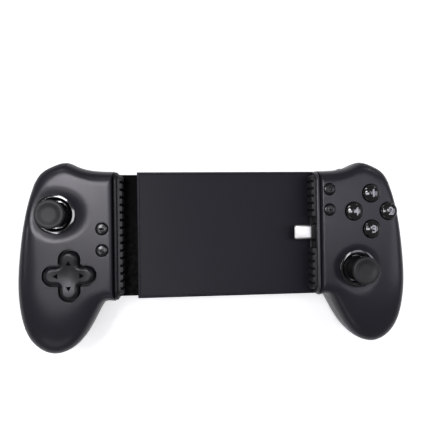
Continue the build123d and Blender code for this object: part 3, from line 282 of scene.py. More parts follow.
# %% Node group: colour drift and worn edges
worn, worn_in, worn_out = group_tree(
    "worn_colour",
    [("Colour", "NodeSocketColor", (0.05, 0.05, 0.05, 1)), ("Drift", "NodeSocketFloat", 0.08),
     ("Edge Colour", "NodeSocketColor", (0.2, 0.2, 0.2, 1)), ("Edge Wear", "NodeSocketFloat", 0.3)],
    "Colour", "NodeSocketColor",
)
worn_place = put(worn, "ShaderNodeTexCoord")
worn_noise = put(worn, "ShaderNodeTexNoise", {"Scale": 28.0, "Detail": 3.0})
worn_range = put(
    worn, "ShaderNodeMapRange", {"From Min": 0.3, "From Max": 0.7, "To Min": -1.0, "To Max": 1.0}
)
worn_tone = put(worn, "ShaderNodeVectorMath", operation="SCALE")
worn_geometry = put(worn, "ShaderNodeNewGeometry")
worn_edge = put(worn, "ShaderNodeMapRange", {"From Min": 0.53, "From Max": 0.62})
worn_patches = put(worn, "ShaderNodeTexNoise", {"Scale": 420.0, "Detail": 5.0})
worn_patch_range = put(worn, "ShaderNodeMapRange", {"From Min": 0.42, "From Max": 0.62})
worn_mix = put(worn, "ShaderNodeMix", data_type="RGBA")
join(
    worn,
    (worn_place, "Object", worn_noise, "Vector"),
    (worn_noise, "Fac", worn_range, "Value"),
    (worn_in, "Colour", worn_tone, "Vector"),
    (worn_geometry, "Pointiness", worn_edge, "Value"),
    (worn_place, "Object", worn_patches, "Vector"),
    (worn_patches, "Fac", worn_patch_range, "Value"),
    (worn_tone, "Vector", worn_mix, "A"),
    (worn_in, "Edge Colour", worn_mix, "B"),
    (worn_mix, "Result", worn_out, "Colour"),
)
worn_drift = maths(worn, "MULTIPLY", worn_range.outputs["Result"], worn_in.outputs["Drift"])
worn.links.new(maths(worn, "ADD", worn_drift, 1.0), worn_tone.inputs["Scale"])
worn_where = maths(worn, "MULTIPLY", worn_edge.outputs["Result"], worn_patch_range.outputs["Result"])
worn_share = maths(worn, "MULTIPLY", worn_where, worn_in.outputs["Edge Wear"], use_clamp=True)
worn.links.new(worn_share, worn_mix.inputs["Factor"])
print("effects:", [tree.name for tree in bpy.data.node_groups])

# %% [markdown]
# ## Plastics, rubber and metal
# All the plastics are made alike: a colour that drifts a little and pales on worn edges, a
# roughness with smears, and a grain in the bump. What sets them apart are the numbers. The grips
# are a matte charcoal with a slight violet cast, the bridge is a darker blue-black, and the
# buttons, rings and shoulder strips are polished.

# %% Moulded plastics
EDGE_LIFT, EDGE_GAIN = 0.05, 1.7
GRAIN_STRENGTH = 0.6
finishes = {}


def moulded(name, colour, roughness, drift=0.06, smear=0.06, wear=0.15, grain_per_metre=2600.0,
            grain_height=0.00002, specular=0.5, coat=0.0, coat_roughness=0.1):
    """A moulded plastic, rubber or paint with grain, smears and worn edges."""
    material = finishes[name] = bpy.data.materials.new(name)
    tree = tree_of(material)
    surface = tree.nodes["Principled BSDF"]
    pale = [min(1, EDGE_LIFT + EDGE_GAIN * channel) for channel in colour]
    tone = put(tree, "ShaderNodeGroup", {
        "Colour": (*colour, 1), "Drift": drift, "Edge Colour": (*pale, 1), "Edge Wear": wear,
    }, node_tree=worn)
    shine = put(tree, "ShaderNodeGroup", {"Roughness": roughness, "Amount": smear}, node_tree=smears)
    join(tree, (tone, "Colour", surface, "Base Color"), (shine, "Roughness", surface, "Roughness"))
    if grain_height:
        texture = put(tree, "ShaderNodeGroup", {"Grains per metre": grain_per_metre}, node_tree=grain)
        bump = put(tree, "ShaderNodeBump", {"Distance": grain_height, "Strength": GRAIN_STRENGTH})
        join(tree, (texture, "Height", bump, "Height"), (bump, "Normal", surface, "Normal"))
    surface.inputs["Specular IOR Level"].default_value = specular
    surface.inputs["Coat Weight"].default_value = coat
    surface.inputs["Coat Roughness"].default_value = coat_roughness
    return material


# %% Plastics in view
moulded("grip_plastic", (0.0185, 0.0180, 0.0240), 0.29, drift=0.05, wear=0.05, specular=0.42)
moulded("frame_plastic", (0.006, 0.006, 0.008), 0.42, specular=0.28)
# A much lighter copy of the frame plastic, for the right side frame only: a painted highlight for the light
# line along that frame's edge.
moulded("painted_highlight_frame", (0.040, 0.040, 0.044), 0.26)
moulded("pad_rubber", (0.016, 0.016, 0.018), 0.58, grain_per_metre=1800.0)
moulded("gloss_black", (0.003, 0.003, 0.004), 0.09, smear=0.03, wear=0.0, grain_height=0,
        specular=1.0, coat=0.6, coat_roughness=0.04)
moulded("shoulder_gloss", (0.003, 0.003, 0.004), 0.14, smear=0.03, wear=0.0, grain_height=0,
        specular=0.4)
moulded("stick_rubber", (0.013, 0.013, 0.014), 0.50, grain_per_metre=1500.0)
moulded("button_plastic", (0.009, 0.009, 0.010), 0.20, grain_height=0.000004)
moulded("dpad_plastic", (0.008, 0.008, 0.010), 0.30, grain_height=0.000006, specular=0.36)
# The sled's plastic is near black with almost no shine: painted shade for the shadow between the bed's tall
# walls.
moulded("sled_plastic", (0.0008, 0.0008, 0.001), 0.60, specular=0.05)
moulded("bridge_plastic", (0.010, 0.0105, 0.016), 0.46, grain_per_metre=2200.0, specular=0.22)
moulded("collar_plastic", (0.006, 0.006, 0.007), 0.45, specular=0.25)
print("in view:", sorted(finishes))

# %% Plastics inside
moulded("inner_plastic", (0.10, 0.10, 0.10), 0.5)
moulded("mat_rubber", (0.32, 0.32, 0.31), 0.6)
moulded("liner_plastic", (0.02, 0.02, 0.02), 0.5)
moulded("ribbon", (0.42, 0.20, 0.04), 0.35, grain_height=0)
moulded("board", (0.012, 0.075, 0.035), 0.3, grain_per_metre=900.0)
print(len(finishes), "plastics so far")

# %% [markdown]
# ## Metals
# The plug's shell and the hidden screws, pins and shafts are metal. Drawing and turning leave fine
# scratches along the metal, which a noise stretched along one axis gives in the roughness.

# %% Metals
SCRATCH_SCALE = (60.0, 5200.0, 5200.0)
SCRATCH_SPREAD = 0.12


def metal(name, colour, roughness):
    """A drawn or turned metal with fine scratches along its length."""
    material = finishes[name] = bpy.data.materials.new(name)
    tree = tree_of(material)
    surface = tree.nodes["Principled BSDF"]
    surface.inputs["Metallic"].default_value = 1.0
    surface.inputs["Base Color"].default_value = (*colour, 1)
    place = put(tree, "ShaderNodeTexCoord")
    stretch = put(tree, "ShaderNodeMapping", {"Scale": SCRATCH_SCALE})
    scratches = put(tree, "ShaderNodeTexNoise", {"Scale": 1.0})
    spread = put(tree, "ShaderNodeMapRange", {
        "To Min": roughness - SCRATCH_SPREAD, "To Max": roughness + SCRATCH_SPREAD,
    })
    join(
        tree,
        (place, "Object", stretch, "Vector"), (stretch, "Vector", scratches, "Vector"),
        (scratches, "Fac", spread, "Value"), (spread, "Result", surface, "Roughness"),
    )


metal("steel", (0.55, 0.55, 0.56), 0.32)
metal("plug_metal", (0.96, 0.96, 0.93), 0.42)
print("finishes:", sorted(finishes))

# %% [markdown]
# ## Dressing the CAD pieces
# Most CAD pieces have the right shape already and only need a finish and smooth shading. An edge
# where two faces meet at more than 32 degrees stays sharp, so a hole's rim doesn't look melted.

# %% Give every CAD node its finish
SHARP_CAD = 32
slots = {part["node"]: part["material_slot"] for part in frame["record"]["subparts"]}
# The right side frame takes the lighter copy of the frame plastic, a painted highlight along its edge.
own_finish = {
    "left_bumper": "shoulder_gloss", "right_bumper": "shoulder_gloss",
    "right_side_frame": "painted_highlight_frame",
}


def shade_smooth(mesh, sharp_above=None):
    """Smooth shading, with edges that turn by more than an angle in degrees kept sharp."""
    for polygon in mesh.polygons:
        polygon.use_smooth = True
    if sharp_above:
        mesh.set_sharp_from_angle(angle=radians(sharp_above))


for name, node in nodes.items():
    node.data.materials.clear()
    node.data.materials.append(finishes[own_finish.get(name, slots[name])])
    shade_smooth(node.data, SHARP_CAD)
print("dressed", len(nodes), "CAD nodes")

# %% [markdown]
# ## Softened copies of the moulded pieces
# No moulded edge is truly sharp: a small radius catches a thin line of light, and that line is what
# makes an edge look real. The CAD mesh itself stays as it is, so each visible piece with hard edges
# is copied, its flat facets are joined up again, and a Bevel modifier rounds every edge that turns
# by more than 30 degrees. The copy then stands for the CAD node and rides on the same body.

# %% Copy a node and round its edges
JOIN_WITHIN, FLAT_WITHIN, ROUND_ABOVE = 0.002 * MM, 0.5, 30
body_of = {
    node: body for body, members in frame["record"]["behaviour"]["bodies"].items() for node in members
}
EDGE_RADII = {
    "left_side_frame": 0.4, "right_side_frame": 0.6, "left_side_pad": 0.25, "right_side_pad": 0.25,
    "bridge_front_cover": 0.45, "bridge_rear_cover": 0.2, "slide_sled": 0.25,
    "usb_plug_shell": 0.12, "usb_plug_collar": 0.2,
    "left_bumper": 0.7, "right_bumper": 0.7, "left_trigger": 0.7, "right_trigger": 0.7,
}


def stand_for(piece, node_name):
    """Make a piece stand for a CAD node: it rides on the node's body, and the node is hidden."""
    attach(piece, body_of[node_name])
    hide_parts(node_name)


def softened(node_name, width):
    """A copy of a CAD node with small radii on its edges, standing in for that node."""
    mesh = nodes[node_name].data.copy()
    mesh.name = node_name + "_soft"
    work = bmesh.new()
    work.from_mesh(mesh)
    bmesh.ops.remove_doubles(work, verts=work.verts, dist=JOIN_WITHIN)
    bmesh.ops.dissolve_limit(work, angle_limit=radians(FLAT_WITHIN), verts=work.verts, edges=work.edges)
    work.to_mesh(mesh)
    work.free()
    shade_smooth(mesh)
    piece = bpy.data.objects.new(node_name + "_soft", mesh)
    bpy.context.scene.collection.objects.link(piece)
    bevel = piece.modifiers.new("edge_radius", "BEVEL")
    bevel.width = width
    bevel.segments = 2
    bevel.limit_method = "ANGLE"
    bevel.angle_limit = radians(ROUND_ABOVE)
    bevel.harden_normals = True
    stand_for(piece, node_name)


for name, radius in EDGE_RADII.items():
    softened(name, radius * MM)
print("softened", len(EDGE_RADII), "nodes")

# %% [markdown]
# ## Turned pieces
# Stick rings, stick caps and round buttons are round about their own axis, so each is a profile
# spun through a full turn. The profile is a list of corners with a radius for each, and every
# corner is replaced by a short curve before the spin. Every piece from here on is built from rows
# of points with faces between neighbouring rows, so one helper makes those faces.

# %% Faces between rows, and a piece from them
def add_ring_faces(work, rows):
    """Faces between neighbouring closed rows of vertices. A row of one vertex is a tip."""
    for lower, upper in zip(rows, rows[1:]):
        for index in range(max(len(lower), len(upper))):
            corners = (
                lower[index % len(lower)], lower[(index + 1) % len(lower)],
                upper[(index + 1) % len(upper)], upper[index % len(upper)],
            )
            work.faces.new(dict.fromkeys(corners))


def piece_from(name, work, sharp_above=None):
    """A scene object from a bmesh, shaded smooth where an angle is given."""
    bmesh.ops.recalc_face_normals(work, faces=work.faces)
    mesh = bpy.data.meshes.new(name)
    work.to_mesh(mesh)
    work.free()
    if sharp_above:
        shade_smooth(mesh, sharp_above)
    piece = bpy.data.objects.new(name, mesh)
    bpy.context.scene.collection.objects.link(piece)
    return piece


def middle_of(node_name):
    """The middle of a node seen from above, in millimetres."""
    low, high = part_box(node_name)
    return (low[0] + high[0]) / 2 / MM, (low[1] + high[1]) / 2 / MM


# %% Spin a profile into a piece
CURVE_STEPS, POINTS_AROUND = 6, 96
TIP_WITHIN, SHARP_TURNED = 0.001, 40


def rounded(corners):
    """Profile points, with each corner of (radius, level, rounding) turned into a short curve."""
    points = [Vector(corners[0][:2])]
    for before, corner, after in zip(corners, corners[1:], corners[2:]):
        here = Vector(corner[:2])
        into = Vector(before[:2]) - here
        out = Vector(after[:2]) - here
        reach = min(corner[2], into.length / 2, out.length / 2)
        start = here + into.normalized() * reach
        end = here + out.normalized() * reach
        for step in range(CURVE_STEPS + 1):
            share = step / CURVE_STEPS
            points.append(start * (1 - share) ** 2 + here * 2 * share * (1 - share) + end * share**2)
    return points + [Vector(corners[-1][:2])]


def turned(name, corners, node_name):
    """A closed solid spun about a CAD node's upright axis, standing for that node."""
    place = middle_of(node_name)
    work = bmesh.new()
    rings = []
    for radius, level in rounded(corners):
        if radius < TIP_WITHIN:
            rings.append([work.verts.new((place[0] * MM, place[1] * MM, level * MM))])
            continue
        rings.append([
            work.verts.new((
                (place[0] + radius * cos(2 * pi * turn / POINTS_AROUND)) * MM,
                (place[1] + radius * sin(2 * pi * turn / POINTS_AROUND)) * MM,
                level * MM,
            ))
            for turn in range(POINTS_AROUND)
        ])
    ends_in_tips = len(rings[0]) == 1 and len(rings[-1]) == 1
    add_ring_faces(work, rings if ends_in_tips else rings + [rings[0]])
    bmesh.ops.remove_doubles(work, verts=work.verts, dist=TIP_WITHIN * MM)
    piece = piece_from(name, work, SHARP_TURNED)
    piece.data.materials.append(finishes[slots[node_name]])
    stand_for(piece, node_name)
    return piece


# %% [markdown]
# ## Stick rings
# A polished ring lines each stick's hole. Its top leans outward a little and its inside is a
# funnel, so it mirrors the far lamps as thin arcs, as in the photo.

# %% Stick rings
ring_profile = [
    (8.6, 35.9, 0), (10.2, 35.9, 0.15), (10.75, 36.2, 0), (10.75, 39.3, 0.15),
    (9.5, 39.46, 0.1), (8.7, 38.95, 0.3), (8.0, 38.2, 0.3), (7.8, 37.5, 0.1), (8.6, 36.7, 0),
]
for side in ("left", "right"):
    turned(side + "_polished_ring", ring_profile, side + "_stick_ring")
print("rings at", [middle_of(side + "_stick_ring") for side in ("left", "right")])

# %% [markdown]
# ## Stick caps
# A thumb rests on a soft rubber cap: a raised rim, a shallow bowl inside it and a smooth neck below.
# The neck ends in a dome that is part of a ball about the stick's pivot, so no gap opens in the ring
# as the stick tips. The cap's side slopes in below the rim to clear the ring at full tilt.

# %% Stick caps
PIVOT, DOME_OUTSIDE, DOME_INSIDE = 31.0, 9.5, 8.5
PAINTED_SHADE_TOP = 45.6 * MM


def dome_corner(out, ball, rounding=0.1):
    """A profile corner on a ball about the stick's pivot."""
    return out, PIVOT + sqrt(ball**2 - out**2), rounding


cap_profile = [
    (0, 49.22, 0), (3.6, 49.25, 1.5), (5.3, 49.75, 0.9), (6.3, 50.0, 0.9), (7.65, 49.75, 1.0),
    (7.6, 47.4, 0.8), (6.5, 45.2, 1.4), (4.0, 43.5, 1.6), (3.0, 42.2, 1.0),
    dome_corner(3.0, DOME_OUTSIDE, 0.2), dome_corner(4.4, DOME_OUTSIDE),
    dome_corner(5.8, DOME_OUTSIDE), dome_corner(7.06, DOME_OUTSIDE, 0),
    dome_corner(6.32, DOME_INSIDE, 0), dome_corner(5.2, DOME_INSIDE),
    dome_corner(3.9, DOME_INSIDE), dome_corner(1.76, DOME_INSIDE, 0), (1.76, 46.0, 0), (0, 46.0, 0),
]
# The cap's faces below this level get a near-black rubber: painted shade for the dark inside of the ring
# round the neck.
painted_shade_neck = moulded("painted_shade_neck", (0.003, 0.003, 0.003), 0.5, specular=0.12)
for side in ("left", "right"):
    cap = turned(side + "_rubber_cap", cap_profile, side + "_stick_cap")
    cap.data.materials.append(painted_shade_neck)
    for polygon in cap.data.polygons:
        polygon.material_index = int(polygon.center.z < PAINTED_SHADE_TOP)
print("caps", max(corner[1] for corner in cap_profile), "mm above the floor")

# %% [markdown]
# ## Domed buttons
# The face buttons are polished domes and the small buttons are flatter ones. Each dome is part of a
# sphere, so one formula gives its height at any distance from its middle. The same formula later
# lays the printed marks on the dome, so that they follow its curve.

# %% Domes and the buttons under them
DOME_SHARES = (0.2, 0.4, 0.6, 0.78)
FACE_BUTTON = {"radius": 5.0, "top": 41.2, "curve": 9.6, "foot": 31.3, "edge": 0.5}
SMALL_BUTTON = {"radius": 3.1, "top": 39.8, "curve": 15.0, "foot": 33.2, "edge": 0.35}
face_buttons = ["face_button_" + word for word in ("upper", "outer", "lower", "inner")]
small_buttons = [
    side + "_small_button_" + word for side in ("left", "right") for word in ("upper", "lower")
]


def dome_level(out, size):
    """Level of a button's dome at a distance from its middle, in millimetres."""
    return size["top"] - size["curve"] + sqrt(size["curve"] ** 2 - out**2)


def button_profile(size):
    """Domed profile with a rounded edge, from the top's middle down to the foot's middle."""
    radius = size["radius"]
    dome = [(radius * share, dome_level(radius * share, size), 0.05) for share in DOME_SHARES]
    rim = (radius, dome_level(radius, size) - 0.1, size["edge"])
    return [(0, size["top"], 0), *dome, rim, (radius, size["foot"], 0), (0, size["foot"], 0)]


for names, size in ((face_buttons, FACE_BUTTON), (small_buttons, SMALL_BUTTON)):
    for name in names:
        turned(name + "_dome", button_profile(size), name)
print("domed", face_buttons + small_buttons)

# %% [markdown]
# ## Printed marks
# Paint on a button is a film some hundredths of a millimetre thick. Each mark starts as Blender's
# own built-in lettering, which becomes a mesh, is cut into small faces and is laid on the dome with
# the dome's own formula. Plain numerals stand on the face buttons, and plain signs on the small ones.

# %% A flat mark cut into small faces
LONGEST_EDGE, LETTER_WEIGHT = 0.12, 0.03


def flat_mark(name, sign):
    """A bmesh of a sign in Blender's own lettering, one unit high, in short edges."""
    text = bpy.data.curves.new(name, "FONT")
    text.body = sign
    text.size = 1.0
    text.resolution_u = 6
    text.offset = LETTER_WEIGHT
    helper = bpy.data.objects.new(name + "_outline", text)
    bpy.context.scene.collection.objects.link(helper)
    graph = bpy.context.evaluated_depsgraph_get()
    flat = bpy.data.meshes.new_from_object(helper.evaluated_get(graph))
    bpy.data.objects.remove(helper)
    work = bmesh.new()
    work.from_mesh(flat)
    bmesh.ops.remove_doubles(work, verts=work.verts, dist=0.0005)
    bmesh.ops.triangulate(work, faces=work.faces)
    for _ in range(4):
        long_edges = [edge for edge in work.edges if edge.calc_length() > LONGEST_EDGE]
        if long_edges:
            bmesh.ops.subdivide_edges(work, edges=long_edges, cuts=1)
            bmesh.ops.triangulate(work, faces=work.faces)
    return work


# %% Print a mark on a dome
FILM_TOP, FILM_FOOT = 0.03, -0.04
NUMERAL_HEIGHT, NUMERAL_SHIFT, SIGN_HEIGHT = 4.6, 0.6, 2.2
print_paint = moulded("print_paint", (0.50, 0.50, 0.53), 0.5, wear=0.0, grain_height=0, specular=0.2)
sign_paint = moulded("glyph_paint", (0.004, 0.004, 0.004), 0.7, wear=0.0, grain_height=0, specular=0.15)


def printed(name, sign, node_name, size, height, paint, shift=0):
    """A numeral or sign printed on a dome, riding with its button."""
    place = middle_of(node_name)
    work = flat_mark(name, sign)
    low = Vector([min(vert.co[axis] for vert in work.verts) for axis in range(2)])
    high = Vector([max(vert.co[axis] for vert in work.verts) for axis in range(2)])
    scale = height / max(high.y - low.y, high.x - low.x)
    middle = (low + high) / 2
    film = bmesh.ops.extrude_face_region(work, geom=work.faces[:])
    upper = {item for item in film["geom"] if isinstance(item, bmesh.types.BMVert)}
    for vert in work.verts:
        across = (vert.co.x - middle.x) * scale + shift
        along = (vert.co.y - middle.y) * scale
        level = dome_level(sqrt(across**2 + along**2), size)
        level += FILM_TOP if vert in upper else FILM_FOOT
        vert.co = Vector((place[0] + across, place[1] + along, level)) * MM
    mark = piece_from(name, work)
    mark.data.validate()
    mark.data.materials.append(paint)
    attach(mark, body_of[node_name])


for numeral, name in zip("1234", face_buttons):
    printed(name + "_numeral", numeral, name, FACE_BUTTON, NUMERAL_HEIGHT, print_paint, NUMERAL_SHIFT)
for sign, name in zip("-=o+", small_buttons):
    printed(name + "_sign", sign, name, SMALL_BUTTON, SIGN_HEIGHT, sign_paint)
print("marks printed on", len(face_buttons) + len(small_buttons), "buttons")

# %% [markdown]
# ## Direction pad
# The pad is a cross with round ends. Its edges are well rounded, its arms rise towards their ends
# and its middle is a shallow dish for the thumb. The outline of a quarter is written once and turned
# four times. Rings of it step in over the rounded edge and then run to the cross's middle lines, so
# the top is all quads and takes the dish smoothly.

# %% Cross outline with a middle line for each of its points
ARM, REACH, CORNER = 5.0, 13.5, 1.4
TIP_STEPS, SIDE_STEPS, CORNER_STEPS = 14, 3, 10


def arc(centre, radius, start, end, steps):
    """Points and outward directions along an arc, angles in degrees."""
    for step in range(steps):
        angle = radians(start + (end - start) * step / steps)
        out = Vector((cos(angle), sin(angle)))
        yield Vector((centre[0] + radius * cos(angle), centre[1] + radius * sin(angle))), out


def quarter_outline():
    """Outline points from one arm's tip to the next, each with its outward and middle-line points."""
    end = REACH - ARM
    turn_in = ARM + CORNER
    for point, out in arc((end, 0), ARM, 0, 90, TIP_STEPS):
        yield point, out, Vector((end, 0))
    for step in range(SIDE_STEPS):
        x = end + (turn_in - end) * step / SIDE_STEPS
        yield Vector((x, ARM)), Vector((0, 1)), Vector((x, 0))
    for step, (point, out) in enumerate(arc((turn_in, turn_in), CORNER, 270, 180, CORNER_STEPS)):
        share = 2 * step / CORNER_STEPS
        inner = Vector((turn_in * (1 - share), 0)) if share <= 1 else Vector((0, turn_in * (share - 1)))
        yield point, -out, inner
    for step in range(SIDE_STEPS):
        y = turn_in + (end - turn_in) * step / SIDE_STEPS
        yield Vector((ARM, y)), Vector((1, 0)), Vector((0, y))
    for point, out in arc((0, end), ARM, 0, 90, TIP_STEPS):
        yield point, out, Vector((0, end))


outline = []
for quarter in range(4):
    spin = Matrix.Rotation(radians(90 * quarter), 2)
    outline += [tuple(spin @ item for item in row) for row in quarter_outline()]
print("the cross has", len(outline), "outline points")

# %% Build the direction pad
DPAD_TOP, DPAD_ROUND, DPAD_DISH, DPAD_SPREAD = 41.4, 2.3, 1.1, 12.0
DPAD_FOOT = ((0, 33.8), (-1.2, 33.8), (-1.2, 35.3), (0, 35.3), (0, 38.6))
ROUND_STEPS, SHARP_CROSS = 7, 50
MERGE_WITHIN, SLIVER = 0.003 * MM, 0.002 * MM
INWARD_SHARES = (0.15, 0.32, 0.5, 0.68, 0.85, 1.0)


def dpad_level(spot):
    """Level of the pad's top: a soft dish in the middle and slightly sunk arms."""
    share = min(1, spot.length / DPAD_SPREAD)
    return DPAD_TOP - DPAD_DISH * (1 - share * share * (3 - 2 * share))


def cross_rings():
    """Rings of points from the foot's flange over the rounded edge to the middle lines."""
    for inset, level in DPAD_FOOT:
        yield [(*(point - out * inset), level) for point, out, _ in outline]
    for step in range(ROUND_STEPS + 1):
        angle = pi / 2 * step / ROUND_STEPS
        inset = DPAD_ROUND * (1 - cos(angle))
        drop = DPAD_ROUND * (sin(angle) - 1)
        spots = [point - out * inset for point, out, _ in outline]
        yield [(*spot, dpad_level(spot) + drop) for spot in spots]
    for share in INWARD_SHARES:
        spots = [(point - out * DPAD_ROUND).lerp(inner, share) for point, out, inner in outline]
        yield [(*spot, dpad_level(spot)) for spot in spots]


dpad_place = middle_of("dpad")
work = bmesh.new()
rows = [
    [work.verts.new(((dpad_place[0] + x) * MM, (dpad_place[1] + y) * MM, z * MM)) for x, y, z in ring]
    for ring in cross_rings()
]
add_ring_faces(work, rows)
work.faces.new(rows[0][::-1])
bmesh.ops.remove_doubles(work, verts=work.verts, dist=MERGE_WITHIN)
bmesh.ops.dissolve_degenerate(work, dist=SLIVER, edges=work.edges)
thumb_cross = piece_from("thumb_cross", work, SHARP_CROSS)
thumb_cross.data.materials.append(finishes[slots["dpad"]])
stand_for(thumb_cross, "dpad")
print("direction pad at", [round(v, 1) for v in dpad_place])

# %% [markdown]
# ## Arrows
# Each arm carries a small arrow, which is sunk into the real pad. Here it is a near-black film like the
# printed marks, painted shade for the dark of that recess, in short rows so that it follows the pad's dish:
# an upper and a lower layer, closed round their rims.

# %% Arrows on the direction pad
ARROW_OUT, ARROW_SIZE, ARROW_ROWS = 6.7, 1.4, 6
ARROW_BACK, ARROW_LENGTH, ARROW_BLUNT = 0.7, 1.7, 0.04
ARROW_FOOT, ARROW_TOP = -0.06, 0.03
# Near black and dull: painted shade that stands for the recess of each arrow.
arrow_shade_paint = moulded("arrow_shade_paint", (0.001, 0.001, 0.001), 0.8, wear=0.0, grain_height=0, specular=0.05)


def arrow_layer(work, spin, lift):
    """Rows of vertices of one arrow, from its back to its tip, laid on the pad."""
    rows = []
    for row in range(ARROW_ROWS + 1):
        share = row / ARROW_ROWS
        x = ARROW_OUT - ARROW_BACK * ARROW_SIZE + ARROW_LENGTH * ARROW_SIZE * share
        half = ARROW_SIZE * (1 - share) + ARROW_BLUNT
        spots = [spin @ Vector((x, half * turn)) for turn in (-1, -0.5, 0, 0.5, 1)]
        rows.append([
            work.verts.new(((dpad_place[0] + spot.x) * MM, (dpad_place[1] + spot.y) * MM,
                            (dpad_level(spot) + lift) * MM))
            for spot in spots
        ])
    for lower, upper in zip(rows, rows[1:]):
        for index in range(len(lower) - 1):
            work.faces.new((lower[index], lower[index + 1], upper[index + 1], upper[index]))
    return rows


def rim_of(layer):
    """The vertices round the edge of an arrow's layer."""
    right = [row[-1] for row in layer[1:]]
    left = [row[0] for row in layer[-2:0:-1]]
    return layer[0] + right + layer[-1][-2::-1] + left


for quarter, word in enumerate(("right", "up", "left", "down")):
    spin = Matrix.Rotation(radians(90 * quarter), 2)
    work = bmesh.new()
    add_ring_faces(work, [rim_of(arrow_layer(work, spin, lift)) for lift in (ARROW_FOOT, ARROW_TOP)])
    arrow = piece_from("arrow_" + word, work)
    arrow.data.materials.append(arrow_shade_paint)
    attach(arrow, body_of["dpad"])
print("arrows", ARROW_OUT, "mm from the pad's middle")

# %% [markdown]
# ## Front shells
# The face of each grip is the largest thing in view, and it has no hard line anywhere: the flat
# middle rolls over into the sides like a pebble, and a soft dish surrounds the stick. The CAD face
# is flat up to the line where its rounding starts. Here the same outline is used, but the rounding
# begins further in and starts more gently, so light slides over it.
# The shell is a closed solid under a skin of rings of points. A second solid, 2 mm smaller, and the
# cutters for the holes are then taken from it by Boolean modifiers. Closed solids are used
# throughout because Booleans are reliable only on them.

# %% Outline of a grip, in millimetres for the right hand
WALL_X, WALL_FACE_X, PARTING, FACE = 58.4, 61.6, 28.5, 39.0
# The grip's outline at the parting line
widest = [
    (WALL_X, 48.5), (70.0, 49.1), (78.5, 51.4), (84.5, 53.7), (91.0, 52.1), (97.7, 48.2),
    (102.7, 38.9), (106.6, 23.6), (110.1, 1.0), (111.0, -13.0), (109.6, -31.9), (104.0, -46.2),
    (92.9, -53.0), (82.7, -50.3), (71.7, -37.3), (66.4, -27.5), (64.3, -24.7), (WALL_X, -24.3),
]
# Where the CAD's face begins, and how much further in the rounding starts here
face_edge = [
    (59.1, 42.5), (70.0, 43.0), (78.0, 45.5), (84.5, 47.5), (90.3, 45.9), (95.0, 42.6),
    (99.0, 35.6), (103.0, 22.6), (102.8, 1.0), (102.2, -11.0), (99.4, -18.6), (94.4, -22.3),
    (89.0, -23.5), (83.0, -23.2), (75.6, -21.6), (69.4, -19.9), (65.2, -19.0), (59.1, -18.6),
]
drawn_in = [3, 3, 3, 3.5, 4, 5, 6, 7, 8, 8, 7, 5, 4, 3, 3, 2.5, 2.5, 2.5]
FACE_MIDDLE = Vector((80.0, 9.0))


def soft_face_point(edge, side_point, amount, at_wall):
    """A face edge point moved further in, so that the rounding starts sooner."""
    inward = (Vector(edge) - Vector(side_point)).normalized()
    moved = Vector(edge) + inward * amount
    return Vector((WALL_FACE_X, moved.y)) if at_wall else moved


# %% How quickly the rounding turns
CAD_POWER, MATCH_HEIGHT, WALL_POWER = 2.2, 0.714, 3.6
LOWEST_POWER, HIGHEST_POWER, HALVINGS = 1.5, 9.0, 40


def rounding_power(old_span, new_span):
    """Power of the wider rounding that passes through the same point at seven tenths of its height."""
    wanted = (1 - (1 - MATCH_HEIGHT**CAD_POWER) ** (1 / CAD_POWER)) * old_span / new_span
    low, high = LOWEST_POWER, HIGHEST_POWER
    for _ in range(HALVINGS):
        middle = (low + high) / 2
        if 1 - (1 - MATCH_HEIGHT**middle) ** (1 / middle) > wanted:
            low = middle
        else:
            high = middle
    return low


sides = [Vector(point) for point in widest]
ends = (0, len(widest) - 1)
tops = [
    soft_face_point(edge, side_point, amount, index in ends)
    for index, (edge, side_point, amount) in enumerate(zip(face_edge, widest, drawn_in))
]
powers = [
    rounding_power((Vector(edge) - side_point).length, (top - side_point).length)
    for edge, side_point, top in zip(face_edge, sides, tops)
]
print("rounding powers", [round(power, 1) for power in powers])

# %% [markdown]
# ## Smooth lines through the outline
# The outline is known at 18 points. A natural cubic spline joins them with no break in slope or
# bend, as the CAD's own curve does. The same function smooths the outline, the line where the face
# begins and the rounding between them, since it works on points and on plain numbers alike.

# %% Smooth lines through the outline's points
def spline_values(knots, values, spots):
    """Values at spots along a cubic line, smooth in slope and bend, through the given values."""
    gaps = [after - before for before, after in zip(knots, knots[1:])]
    slopes = [(after - before) / gap for before, after, gap in zip(values, values[1:], gaps)]
    ratios, parts = [0.0], [values[0] * 0]
    for index in range(1, len(values) - 1):
        scale = 2 * (gaps[index - 1] + gaps[index]) - gaps[index - 1] * ratios[-1]
        ratios.append(gaps[index] / scale)
        parts.append(((slopes[index] - slopes[index - 1]) * 6 - parts[-1] * gaps[index - 1]) / scale)
    bends = [values[0] * 0 for _ in values]
    for index in range(len(values) - 2, 0, -1):
        bends[index] = parts[index] - bends[index + 1] * ratios[index]
    found = []
    for spot in spots:
        index = max(i for i in range(len(gaps)) if knots[i] <= spot + 1e-9)
        gap, ahead, past = gaps[index], knots[index + 1] - spot, spot - knots[index]
        found.append(
            bends[index] * (ahead**3 / (6 * gap)) + bends[index + 1] * (past**3 / (6 * gap))
            + (values[index] / gap - bends[index] * (gap / 6)) * ahead
            + (values[index + 1] / gap - bends[index + 1] * (gap / 6)) * past
        )
    return found


knots = [0.0]
for before, after in zip(sides, sides[1:]):
    knots.append(knots[-1] + (after - before).length)
AROUND, ALONG_WALL = 220, 64
spots = [knots[-1] * step / AROUND for step in range(AROUND + 1)]
side_line = spline_values(knots, sides, spots)
top_line = spline_values(knots, tops, spots)
power_line = spline_values(knots, powers, spots)
for step in range(1, ALONG_WALL):
    share = step / ALONG_WALL
    side_line.append(side_line[AROUND].lerp(side_line[0], share))
    top_line.append(top_line[AROUND].lerp(top_line[0], share))
    power_line.append(WALL_POWER)
print("outline of", len(side_line), "points")

# %% Dish round a stick
DISH_SLOPE, DISH_START, DISH_BEND = 0.26, 10.0, 12.0
DISH_EDGE, DISH_REACH = {"left": 16.4, "right": 15.0}, {"left": 4.4, "right": 1.0}


